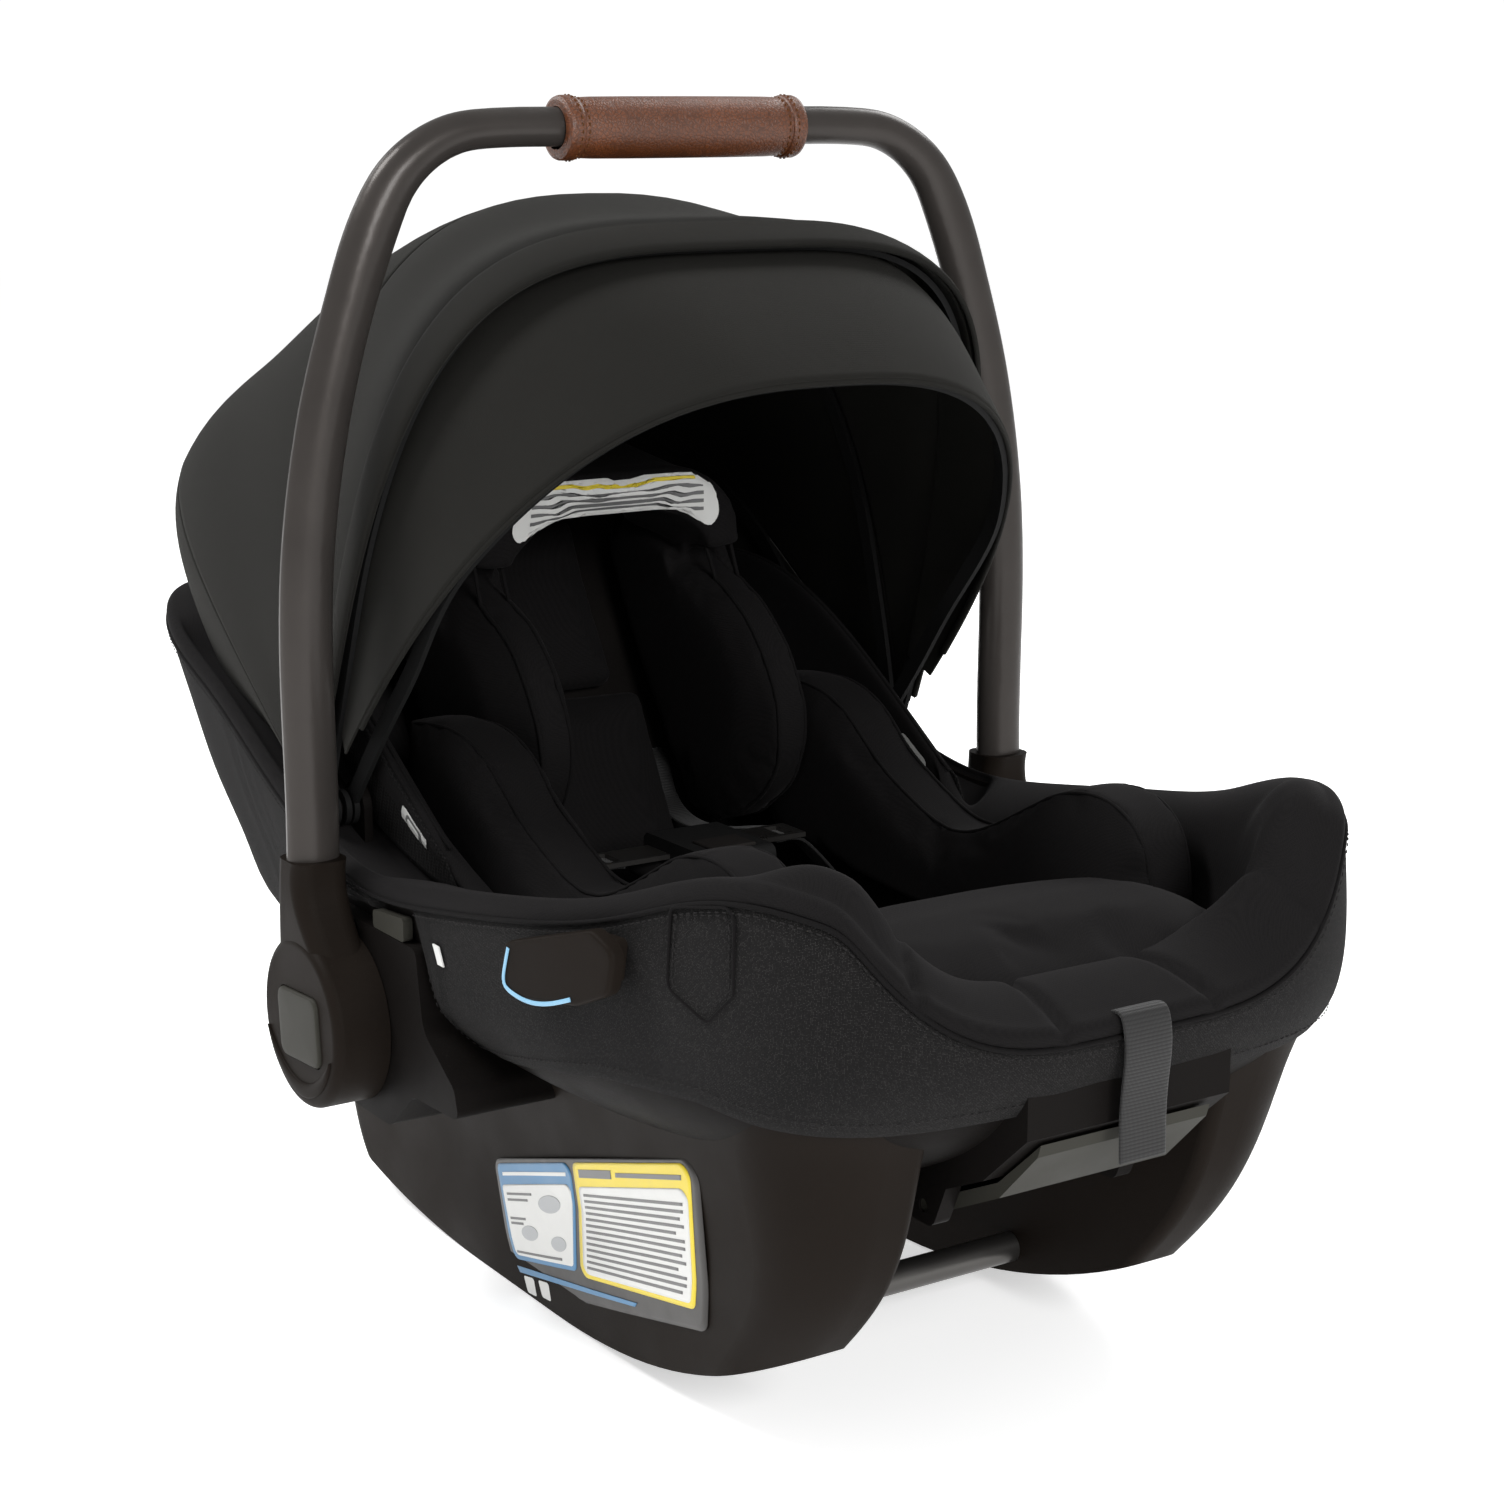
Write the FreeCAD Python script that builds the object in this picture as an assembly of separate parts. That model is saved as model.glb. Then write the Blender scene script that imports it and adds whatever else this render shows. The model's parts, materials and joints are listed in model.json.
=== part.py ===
import FreeCAD, Part
import math
import os

os.makedirs("parts", exist_ok=True)
V = FreeCAD.Vector

# ---------------------------------------------------------------- driving dimensions (mm)
LENGTH = 676.0            # foot end to head end, along Y
WIDTH = 444.0             # over the two handle buttons, along X
HEIGHT = 582.0            # floor to the top of the grip
REAR_Y = LENGTH / 2       # head end of the cover
FRONT_Y = -LENGTH / 2     # foot end, face of the adjuster strap
STRAP_T = 1.8             # webbing thickness
SHELL_W = 186.0           # half width of the shell at the rim
COVER_T = 4.0             # cloth and wadding on each face of the shell wall
WALL = 4.0                # shell wall
SKIRT_WALL = 3.5          # skirt wall
SOFT_GAP = 0.3            # free gap between a soft piece and a piece that moves
RUN = 0.1                 # running clearance on a radius

HUB_Y, HUB_Z = 19.0, 150.0      # handle axis
HUB_R = 42.0                    # handle hub radius
BUTTON_X = WIDTH / 2            # face of the release button
HUB_FACE = BUTTON_X - 2.0       # outer face of the hub
BRACKET_X = 191.5               # outer face of the fixed bracket
HUB_IN = 192.0                  # inner face of the turning hub

TUBE_X = 206.0            # handle tube, half width over the centre line at the sockets
TUBE_Y = 27.0             # handle tube plane
GRIP_R = 15.5             # grip radius at its end collars
TOP_Z = HEIGHT - GRIP_R   # centre line of the top bar
SIDE_ARC_DEG = 24.0       # first, long bend of the tube
SIDE_ARC_R = 515.0
SHOULDER_R = 62.0

PIV_Y, PIV_Z = 80.0, 236.0      # canopy axis
CAN_T = 1.4                     # canopy cloth thickness
HOOP_T = 2.6                    # hoop thickness, across the arch
HOOP_W = 9.0                    # hoop width, along the turning direction
ARM_STEP = 3.3                  # sideways step between neighbouring hoop arms

SKIRT_IN = 80.0           # inner wall of each skirt
LAND_Y0, LAND_Y1 = -45.0, 35.0  # flat land under each skirt
ROCK_R = 420.0            # rocker radius fore and aft of the land

nodes = {}


# ---------------------------------------------------------------- helpers
def keep(name, shape):
    """Store one named piece."""
    shape = shape.removeSplitter()
    if shape.ShapeType == "Compound" and len(shape.Solids) == 1:
        shape = shape.Solids[0]
    nodes[name] = shape
    return shape


def both(name, shape):
    """Store a right hand piece and its mirror image."""
    keep(name + "_right", shape)
    keep(name + "_left", shape.mirror(V(0, 0, 0), V(1, 0, 0)))


def box(x0, x1, y0, y1, z0, z1):
    return Part.makeBox(x1 - x0, y1 - y0, z1 - z0, V(x0, y0, z0))


def cyl_x(y, z, r, x0, x1):
    return Part.makeCylinder(r, x1 - x0, V(x0, y, z), V(1, 0, 0))


def rounded_wire(points, radius, place):
    """Closed polygon wire with its corners rounded; radius is one number or one per corner."""
    n = len(points)
    radii = radius if isinstance(radius, (list, tuple)) else [radius] * n
    p = [V(a, b, 0) for a, b in points]
    edges = []
    first = None
    last = None
    for i in range(n):
        a, b, c = p[i - 1], p[i], p[(i + 1) % n]
        u = (a - b).normalize()
        w = (c - b).normalize()
        half = math.acos(max(-1, min(1, u.dot(w)))) / 2
        r = radii[i]
        cut = r / math.tan(half) if r > 0 else 0
        s = b + u * cut
        e = b + w * cut
        if r > 0:
            bis = (u + w).normalize()
            m = b + bis * (r / math.sin(half) - r)
        if last is not None and (s - last).Length > 1e-6:
            edges.append(Part.makeLine(place(last), place(s)))
        if r > 0:
            edges.append(Part.Arc(place(s), place(m), place(e)).toShape())
        if first is None:
            first = s
        last = e
    if (first - last).Length > 1e-6:
        edges.append(Part.makeLine(place(last), place(first)))
    return Part.Wire(edges)


def prism_x(points, x0, x1, radius=0):
    """Side outline in (y, z), extruded along X."""
    wire = rounded_wire(points, radius, lambda q: V(x0, q.x, q.y))
    return Part.Face(wire).extrude(V(x1 - x0, 0, 0))


def prism_z(points, z0, z1, radius=0):
    """Plan outline in (x, y), extruded along Z."""
    wire = rounded_wire(points, radius, lambda q: V(q.x, q.y, z0))
    return Part.Face(wire).extrude(V(0, 0, z1 - z0))


def spline(points):
    c = Part.BSplineCurve()
    c.interpolate(points)
    return c.toShape()


def region_x(curve, z_far, half=260.0):
    """Everything between a (y, z) curve and the level z_far, for |x| < half."""
    pts = [V(-half, y, z) for y, z in curve]
    e = spline(pts)
    a, b = pts[0], pts[-1]
    ends = [V(-half, b.y, z_far), V(-half, a.y, z_far)]
    wire = Part.Wire([
        e,
        Part.makeLine(b, ends[0]),
        Part.makeLine(ends[0], ends[1]),
        Part.makeLine(ends[1], a),
    ])
    return Part.Face(wire).extrude(V(2 * half, 0, 0))


# ---------------------------------------------------------------- bucket
# half plan of the bucket: share of the half width, share of the length from the foot end
PLAN = [
    (0.0, 0.0), (0.32, 0.0015), (0.58, 0.019), (0.73, 0.046), (0.84, 0.10), (0.92, 0.204),
    (0.98, 0.32), (1.0, 0.426), (1.0, 0.53), (0.99, 0.65), (0.965, 0.78), (0.935, 0.88),
    (0.90, 0.95), (0.82, 0.985), (0.62, 0.999), (0.32, 1.0), (0.0, 1.0),
]
# outside of the shell at each level: z, foot end y, head end y, half width
FOOT_FACE = FRONT_Y + STRAP_T + COVER_T + 0.4
HEAD_FACE = REAR_Y - COVER_T + 2.85
SHELL_LEVELS = [
    (75.0, -170.0, 90.0, 74.0),
    (100.0, -215.0, 118.0, 95.0),
    (136.0, -268.0, 172.0, 140.0),
    (165.0, -309.0, 197.0, 175.0),
    (195.0, FOOT_FACE + 3.5, 217.0, SHELL_W - 2),
    (226.0, FOOT_FACE, 251.0, SHELL_W),
    (260.0, FOOT_FACE, 284.0, SHELL_W),
    (300.0, FOOT_FACE, 320.0, SHELL_W),
    (330.0, FOOT_FACE, HEAD_FACE, SHELL_W),
]
# inside face of the padding
PAD_LEVELS = [
    (150.0, -215.0, 85.0, 90.0),
    (175.0, -262.0, 122.0, 118.0),
    (200.0, -292.0, 168.0, 138.0),
    (235.0, -308.0, 222.0, 146.0),
    (275.0, -315.0, 266.0, 148.0),
    (330.0, -318.0, 306.0, 149.0),
]


def ring(z, y0, y1, w):
    pts = [V(w * f, y0 + (y1 - y0) * t, z) for f, t in PLAN]
    pts += [V(-q.x, q.y, q.z) for q in reversed(pts[1:-1])]
    c = Part.BSplineCurve()
    c.interpolate(pts, PeriodicFlag=True)
    return Part.Wire([c.toShape()])


def bowl(levels, off, lift=0.0):
    """Filled bowl through the levels, grown sideways by off, with its floor raised by lift."""
    rows = [list(r) for r in levels]
    if lift:
        a, b = rows[0], rows[1]
        t = lift / (b[0] - a[0])
        rows[0] = [a[i] + (b[i] - a[i]) * t for i in range(4)]
    return Part.makeLoft([ring(z, y0 - off, y1 + off, w + off) for z, y0, y1, w in rows], True)


RIM_TOP = [
    (FRONT_Y - 12, 196), (FRONT_Y - 2, 212), (-326, 250), (-307, 270), (-270, 278), (-200, 258),
    (-120, 240), (-50, 228), (20, 222), (100, 240), (200, 275), (280, 300), (325, 315), (352, 322),
]
# top of the padding: under the rim in front, standing up beside the shoulders and head
PAD_TOP = [
    (FRONT_Y - 12, 191), (FRONT_Y - 2, 207), (-326, 245), (-307, 265), (-270, 273), (-200, 253),
    (-120, 235), (-50, 223), (-8, 228), (24, 246), (60, 270), (111, 300), (166, 320), (215, 322),
    (260, 310), (300, 304), (352, 317),
]
HEM = [
    (FRONT_Y - 12, 176), (-310, 174), (-280, 176), (-250, 181), (-190, 176), (-120, 160),
    (-50, 140), (60, 136), (180, 136), (352, 136),
]


def below_rim(drop):
    return region_x([(y, z - drop) for y, z in RIM_TOP], 40.0)


def saddle(drop):
    """Air above the low middle of the foot end."""
    low = 213.0 - drop
    pts = [(-128 + 32 * k, low + 60.0 * ((-128 + 32 * k) / 125.0) ** 2) for k in range(9)]
    e = spline([V(x, FRONT_Y - 30, z) for x, z in pts])
    a, b = V(-128, FRONT_Y - 30, pts[0][1]), V(128, FRONT_Y - 30, pts[-1][1])
    c, d = V(128, FRONT_Y - 30, 360), V(-128, FRONT_Y - 30, 360)
    wire = Part.Wire([e, Part.makeLine(b, c), Part.makeLine(c, d), Part.makeLine(d, a)])
    return Part.Face(wire).extrude(V(0, 78, 0))


outer = bowl(SHELL_LEVELS, 0.0)
lining = bowl(SHELL_LEVELS, -WALL, 5.0)
shell = outer.cut(lining).common(below_rim(COVER_T)).cut(saddle(COVER_T))

# ---------------------------------------------------------------- skirts
# level, foot end y, head end y, outer x, radius of the outer front corner
SKIRT_LEVELS = [
    (-6.0, -214.0, 150.0, 117.0, 22.0),
    (31.0, -226.0, 174.0, 124.0, 26.0),
    (72.0, -262.0, 180.0, 128.0, 30.0),
    (120.0, -287.0, 183.0, 138.0, 38.0),
    (176.0, -306.0, 188.0, 150.0, 46.0),
]


def skirt_block(inset):
    wires = []
    for z, y0, y1, xo, front_r in SKIRT_LEVELS:
        a, b = SKIRT_IN + inset, xo - inset
        c, d = y0 + inset, y1 - inset
        wires.append(rounded_wire(
            [(a, c), (b, c), (b, d), (a, d)], [6.0, front_r, 16.0, 6.0],
            lambda q, z=z: V(q.x, q.y, z),
        ))
    return Part.makeLoft(wires, True)


def rocker(lift):
    """Everything above the rocker line raised by lift."""
    def rise(d):
        return ROCK_R - math.sqrt(ROCK_R * ROCK_R - d * d)

    d0, d1 = 285.0, 175.0
    pts = {
        "f": V(60, LAND_Y0 - d0, rise(d0) + lift), "fm": V(60, LAND_Y0 - d0 / 2, rise(d0 / 2) + lift),
        "a": V(60, LAND_Y0, lift), "b": V(60, LAND_Y1, lift),
        "rm": V(60, LAND_Y1 + d1 / 2, rise(d1 / 2) + lift), "r": V(60, LAND_Y1 + d1, rise(d1) + lift),
    }
    top_f, top_r = V(60, LAND_Y0 - d0, 240), V(60, LAND_Y1 + d1, 240)
    wire = Part.Wire([
        Part.Arc(pts["f"], pts["fm"], pts["a"]).toShape(),
        Part.makeLine(pts["a"], pts["b"]),
        Part.Arc(pts["b"], pts["rm"], pts["r"]).toShape(),
        Part.makeLine(pts["r"], top_r),
        Part.makeLine(top_r, top_f),
        Part.makeLine(top_f, pts["f"]),
    ])
    face = Part.Face(wire)
    return face.extrude(V(120, 0, 0))


# the rocker prism reaches past both ends of the block, so it only trims the underside
skirt_full = skirt_block(0.0).common(rocker(0.0))
skirt_hollow = skirt_block(SKIRT_WALL).common(rocker(SKIRT_WALL + 0.5))
skirt = skirt_full.cut(skirt_hollow).cut(outer).cut(region_x(HEM, 420.0))

BAR_R = 7.5
BARS = {"front_cross_bar": (-151.0, 27.0), "rear_cross_bar": (112.0, 31.0)}
for bar_name, (by, bz) in BARS.items():
    bar = cyl_x(by, bz, BAR_R, -(SKIRT_IN + SKIRT_WALL), SKIRT_IN + SKIRT_WALL)
    keep(bar_name, bar)
    skirt = skirt.cut(bar)
solids = sorted(skirt.Solids, key=lambda s: -s.Volume)
skirt = solids[0]
both("base_skirt", skirt)

# ---------------------------------------------------------------- handle brackets
BRACKET = [(-50, 199), (-56, 162), (-86, 142), (-90, 128), (-44, 126), (-20, 104), (56, 104), (66, 124),
           (66, 186), (54, 199)]
block = prism_x(BRACKET, 96.0, BRACKET_X, [5, 14, 8, 4, 10, 14, 14, 10, 10, 5])
lug = prism_x([(56, 144), (94, 146), (97, 160), (94, 180), (56, 182)], 170.0, BRACKET_X, 4.0)
INNER = [(-44, 193), (-50, 158), (-78, 139), (-80, 133), (-42, 132), (-18, 110), (52, 110), (60, 126),
         (60, 184), (50, 193)]
cavity = prism_x(INNER, 90.0, BRACKET_X - 8, 1.5).cut(cyl_x(HUB_Y, HUB_Z, 32.0, 80, 210))
bracket = block.fuse(lug).cut(cavity)

GEAR_X0, GEAR_X1 = 185.5, 195.0
GEAR_R, GEAR_ROOT, TEETH = 24.0, 21.0, 16
BUTTON_TRAVEL = 4.0
SPRING_X0 = 171.0
BOLT_R = 6.0


def gear_face(x, grow):
    pts = []
    for i in range(TEETH):
        for frac, r in ((0.0, GEAR_ROOT), (0.30, GEAR_ROOT), (0.42, GEAR_R), (0.88, GEAR_R)):
            t = 2 * math.pi * (i + frac) / TEETH
            pts.append(V(x, HUB_Y + (r + grow) * math.cos(t), HUB_Z + (r + grow) * math.sin(t)))
    pts.append(pts[0])
    return Part.Face(Part.makePolygon(pts))


gear_pocket = gear_face(SPRING_X0, 0.3).extrude(V(BRACKET_X - SPRING_X0 + 1, 0, 0))
bracket = bracket.cut(gear_pocket).cut(cyl_x(HUB_Y, HUB_Z, BOLT_R, 120, 200))
# release tab turret
TAB = dict(x1=191.0, y0=-38.0, y1=-6.0, z0=199.4, z1=211.0)
stem_hole = box(185.0, 190.0, -33.0, -19.0, 188.0, 201.0)
bracket = bracket.cut(stem_hole).cut(outer).cut(skirt_full)
bracket = sorted(bracket.Solids, key=lambda s: -s.Volume)[0]
both("hub_bracket", bracket)

tab_top = prism_x(
    [(TAB["y0"], TAB["z0"]), (TAB["y1"], TAB["z0"]), (TAB["y1"], TAB["z1"] - 3), (TAB["y0"], TAB["z1"])],
    SHELL_W + 0.5, TAB["x1"] + 0.4, 2.0)
tab_stem = box(SHELL_W + 0.5, 189.7, -32.7, -19.3, 190.0, TAB["z0"] + 2)
both("stroller_tab", tab_top.fuse(tab_stem))

gear = gear_face(GEAR_X0, 0.0).extrude(V(GEAR_X1 - GEAR_X0, 0, 0))
gear = gear.cut(cyl_x(HUB_Y, HUB_Z, 9.0, 150, 230))
both("lock_gear", gear)

bolt = cyl_x(HUB_Y, HUB_Z, BOLT_R, 169.0, 206.0).fuse(cyl_x(HUB_Y, HUB_Z, 9.5, 206.0, 209.0))
bolt = bolt.cut(Part.Face(Part.makePolygon([
    V(207.0, HUB_Y + 3.4 * math.cos(k * math.pi / 3), HUB_Z + 3.4 * math.sin(k * math.pi / 3))
    for k in range(7)])).extrude(V(4, 0, 0)))
both("pivot_bolt", bolt)

# ---------------------------------------------------------------- handle
def tube_path():
    """Centre line stations (x, z, lean) from the right socket to the left one."""
    a1 = math.radians(SIDE_ARC_DEG)
    rise = SIDE_ARC_R * math.sin(a1) + SHOULDER_R * (1 - math.sin(a1))
    z1 = TOP_Z - rise
    out = [(TUBE_X, 190.0, 0.0), (TUBE_X, 232.0, 0.0), (TUBE_X, z1, 0.0)]
    for k in (1, 2, 3, 4, 5):
        t = a1 * k / 5
        out.append((TUBE_X - SIDE_ARC_R * (1 - math.cos(t)), z1 + SIDE_ARC_R * math.sin(t), t))
    cx = out[-1][0] - SHOULDER_R * math.cos(a1)
    cz = out[-1][1] - SHOULDER_R * math.sin(a1)
    for k in (1, 2, 3, 4, 5):
        t = a1 + (math.pi / 2 - a1) * k / 5
        out.append((cx + SHOULDER_R * math.cos(t), cz + SHOULDER_R * math.sin(t), t))
    out.append((40.0, TOP_Z, math.pi / 2))
    left = [(-x, z, math.pi - t) for x, z, t in reversed(out)]
    return out + left


def tube_solid(shrink):
    """Oval tube: widest at the sockets, round under the grip."""
    wires = []
    for x, z, t in tube_path():
        s = min(1.0, abs(math.sin(t)) ** 1.5)
        ra = 13.0 + (9.3 - 13.0) * s - shrink
        rb = 9.8 + (9.1 - 9.8) * s - shrink
        across = V(math.cos(t), 0, math.sin(t))
        e = Part.Ellipse(V(x, TUBE_Y, z) + across * ra, V(x, TUBE_Y + rb, z), V(x, TUBE_Y, z))
        wires.append(Part.Wire([e.toShape()]))
    return Part.makeLoft(wires, True)


tube_full = tube_solid(0.0)
tube = tube_full.cut(tube_solid(1.8))
keep("handle_tube", tube)

GRIP_HALF, BAND = 68.0, 9.0
sleeve = cyl_x(TUBE_Y, TOP_Z, GRIP_R - 0.8, -GRIP_HALF + BAND, GRIP_HALF - BAND).cut(tube_full)
band = cyl_x(TUBE_Y, TOP_Z, GRIP_R, GRIP_HALF - BAND, GRIP_HALF)
band = band.makeFillet(1.4, [e for e in band.Edges if e.Curve.TypeId == "Part::GeomCircle"])
bands = band.fuse(band.mirror(V(0, 0, 0), V(1, 0, 0))).cut(tube_full)
keep("handle_grip", sleeve.fuse(bands))

# hub with its socket neck
disc = cyl_x(HUB_Y, HUB_Z, HUB_R, HUB_IN, HUB_FACE)
disc = disc.makeFillet(5.0, [e for e in disc.Edges
                             if e.Curve.TypeId == "Part::GeomCircle" and e.BoundBox.XMin > HUB_FACE - 1])
neck_wires = []
for z, ylo, yhi, xlo, xhi in (
    (150.0, -14.0, 52.0, HUB_IN, 218.0), (184.0, -4.0, 47.0, HUB_IN, 219.0),
    (200.0, 8.0, 44.0, HUB_IN, 220.0), (228.0, 13.0, 41.0, HUB_IN, 220.0),
):
    neck_wires.append(rounded_wire([(xlo, ylo), (xhi, ylo), (xhi, yhi), (xlo, yhi)], 9.0,
                                   lambda q, z=z: V(q.x, q.y, z)))
neck = Part.makeLoft(neck_wires, True)
hub = disc.fuse(neck)
hub = hub.cut(tube_full)
TRAPEZE = [(HUB_Y - 25, HUB_Z - 17), (HUB_Y + 19, HUB_Z - 20), (HUB_Y + 22, HUB_Z + 14), (HUB_Y - 22, HUB_Z + 17)]
POCKET = [(HUB_Y - 25.5, HUB_Z - 17.5), (HUB_Y + 19.5, HUB_Z - 20.5), (HUB_Y + 22.5, HUB_Z + 14.5),
          (HUB_Y - 22.5, HUB_Z + 17.5)]
FLOOR_X = 206.0
hub = hub.cut(prism_x(POCKET, FLOOR_X, HUB_FACE + 5, 6.5))
hub = hub.cut(cyl_x(HUB_Y, HUB_Z, BOLT_R + RUN, 190, 230))
hub = hub.cut(cyl_x(HUB_Y, HUB_Z, GEAR_R + 0.6, HUB_IN - 1, GEAR_X1 + 0.5))
PIN_R, PIN_OFF = 2.4, 13.5
for s in (-1, 1):
    hub = hub.cut(cyl_x(HUB_Y + s * PIN_OFF, HUB_Z, PIN_R + RUN, 190, 230))
both("handle_hub", hub)

button = prism_x(TRAPEZE, BUTTON_X - 6.0, BUTTON_X, 6.0)
for s in (-1, 1):
    button = button.fuse(cyl_x(HUB_Y + s * PIN_OFF, HUB_Z, PIN_R, GEAR_X1, BUTTON_X - 5))
both("handle_button", button)

# ---------------------------------------------------------------- belt guides
GUIDE_Y0, GUIDE_Y1 = -231.0, -141.0
guide = prism_x([(GUIDE_Y0, 213), (GUIDE_Y0 + 3, 252), (GUIDE_Y0 + 22, 251), (GUIDE_Y1, 232), (GUIDE_Y1 - 1, 211)],
                150.0, 194.0, [7, 6, 10, 7, 7])
guide = guide.cut(box(100, 187.0, GUIDE_Y0 + 14, GUIDE_Y1 + 20, 200, 260).cut(
    box(100, 175.0, GUIDE_Y0 + 14, GUIDE_Y1 + 20, 200, 260)))
guide.rotate(V(172, -186, 230), V(0, 0, 1), -8.0)
cover_outer = bowl(SHELL_LEVELS, COVER_T)
guide_back = guide.cut(cover_outer)
guide_back = sorted(guide_back.Solids, key=lambda s: -s.Volume)[0]
both("belt_guide", guide_back)

# ---------------------------------------------------------------- cover and padding
cover_inner = bowl(SHELL_LEVELS, -WALL - COVER_T, 5.0)
band_zone = region_x(HEM, 420.0).common(below_rim(0.0))
cover = cover_outer.cut(cover_inner).common(band_zone).cut(saddle(0.0)).cut(shell)
notch = prism_x([(-53, 205), (-60, 160), (-92, 143), (-96, 100), (72, 100), (100, 138), (103, 160), (100, 188),
                 (72, 205)], 100.0, 215.0)
notch = notch.fuse(box(SHELL_W, 215, -52, 72, 190, 216)).cut(outer)
cover = cover.cut(notch).cut(notch.mirror(V(0, 0, 0), V(1, 0, 0)))

# canopy mount: a bracket through the lining onto the shell, with the pivot pin
MOUNT_X0, MOUNT_X1 = 155.0, 159.5
PIN_END = 177.3
arm = box(MOUNT_X0, MOUNT_X1, 68, 92, 202, 226).fuse(cyl_x(PIV_Y, PIV_Z, 12.0, MOUNT_X0, MOUNT_X1))
arm = arm.fuse(box(MOUNT_X0, MOUNT_X1, 68, 92, 216, 236))
foot_of_arm = box(MOUNT_X0, 190, 68, 92, 202, 212).common(lining)
mount = arm.fuse(foot_of_arm).fuse(cyl_x(PIV_Y, PIV_Z, 4.0, MOUNT_X0, PIN_END))
both("canopy_mount", mount)
for s in (-1, 1):
    hole = box(MOUNT_X0, 190, 68, 92, 202, 212)
    slot = box(150, 177.8, PIV_Y - 15, PIV_Y + 15, PIV_Z - 15, 262)
    if s < 0:
        hole = hole.mirror(V(0, 0, 0), V(1, 0, 0))
        slot = slot.mirror(V(0, 0, 0), V(1, 0, 0))
    cover = cover.cut(hole).cut(slot)
cover = sorted(cover.Solids, key=lambda s: -s.Volume)[0]
keep("rim_cover", cover)

cavity_grown = Part.makeLoft([ring(z - 9, y0 - 9, y1 + 9, w + 9) for z, y0, y1, w in PAD_LEVELS], True)
cavity_pad = bowl(PAD_LEVELS, 0.0)
foam = bowl(SHELL_LEVELS, -WALL - COVER_T, 5.0).cut(cavity_grown).common(below_rim(14.0)).cut(saddle(14.0))
pad = cavity_grown.cut(cavity_pad).common(region_x(PAD_TOP, 40.0)).cut(saddle(5.0))
for s in (-1, 1):
    room = box(150, 190, 62, 98, 198, 262)
    if s < 0:
        room = room.mirror(V(0, 0, 0), V(1, 0, 0))
    foam = foam.cut(room)
    pad = pad.cut(room)
foam = sorted(foam.Solids, key=lambda s: -s.Volume)[0]
pad = sorted(pad.Solids, key=lambda s: -s.Volume)[0]
# floor of the grown bowl is cut flat where it would pass the pad
keep("foam_liner", foam)
keep("seat_pad", pad)
keep("seat_shell", shell)

# ---------------------------------------------------------------- base release
LEVER_AXIS = (-259.0, 115.0)
house = prism_x([(-329, 190), (-329, 166), (-300, 139.5), (-262, 121.5), (-240, 112), (-228, 116), (-260, 150),
                 (-310, 190)], -55.0, 55.0)
cheek = prism_x([(-276, 130), (-266, 107), (-252, 107), (-240, 116)], 46.5, 55.0, [0, 6, 6, 0])
house = house.fuse(cheek).fuse(cheek.mirror(V(0, 0, 0), V(1, 0, 0))).cut(outer).cut(cover)
house = house.cut(cyl_x(LEVER_AXIS[0], LEVER_AXIS[1], 3.0 + RUN, -60, 60))
house = sorted(house.Solids, key=lambda s: -s.Volume)[0]
keep("base_release_housing", house)


# ---------------------------------------------------------------- canopy
# hoops: angle from +Y, reach, half width, squareness of the arch, inward step of the arm, start of its flare
HOOPS = {
    "rear": (34.0, 296.2, 176.3, 5.0, 9.2, 90.0),
    "mid": (80.0, 295.8, 175.9, 2.5, 3.1, 70.0),
    "front": (110.0, 294.4, 176.8, 3.8, 0.8, 70.0),
    "visor": (130.0, 287.2, 174.4, 2.7, 11.5, 90.0),
}
FLARE = 90.0
ARCH_FINE, ARCH_POINTS = 800, 36
ARM_DISC_R = 9.0
ARM_DISC_LIP = 0.15         # the disc stands this much proud of each face of the arm
ARM_DISC_T = HOOP_T + 2 * ARM_DISC_LIP


def arch(reach, half, square, h0, step=0.0, flare0=0.0):
    """Points (x, h) of an arch from its right end to its left end, starting h0 above the canopy axis, evenly spaced."""
    t0 = math.asin((h0 / reach) ** (square / 2))
    out = []
    for k in range(ARCH_FINE + 1):
        v = k / ARCH_FINE
        t = t0 + (math.pi - 2 * t0) * v * v * (3 - 2 * v)
        c, s = math.cos(t), math.sin(t)
        x = half * math.copysign(abs(c) ** (2 / square), c)
        h = reach * s ** (2 / square)
        f = max(0.0, min(1.0, (h - flare0) / FLARE))
        x -= math.copysign(step * (1 - f * f * (3 - 2 * f)), c) if abs(c) > 1e-9 else 0.0
        out.append((x, h))
    run = [0.0]
    for p, q in zip(out, out[1:]):
        run.append(run[-1] + math.hypot(q[0] - p[0], q[1] - p[1]))
    even = []
    i = 0
    for k in range(ARCH_POINTS + 1):
        want = run[-1] * k / ARCH_POINTS
        while i < ARCH_FINE - 1 and run[i + 1] < want:
            i += 1
        share = (want - run[i]) / (run[i + 1] - run[i])
        even.append(tuple(a + (b - a) * share for a, b in zip(out[i], out[i + 1])))
    return even


def arch_face(outer_pts, inner_pts):
    a = [V(x, 0, h) for x, h in outer_pts]
    b = [V(x, 0, h) for x, h in inner_pts]
    wire = Part.Wire([spline(a), Part.makeLine(a[-1], b[-1]), spline(list(reversed(b))), Part.makeLine(b[0], a[0])])
    return wire


def to_angle(shape, phi):
    shape.rotate(V(0, 0, 0), V(1, 0, 0), phi - 90.0)
    shape.translate(V(0, PIV_Y, PIV_Z))
    return shape


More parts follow.
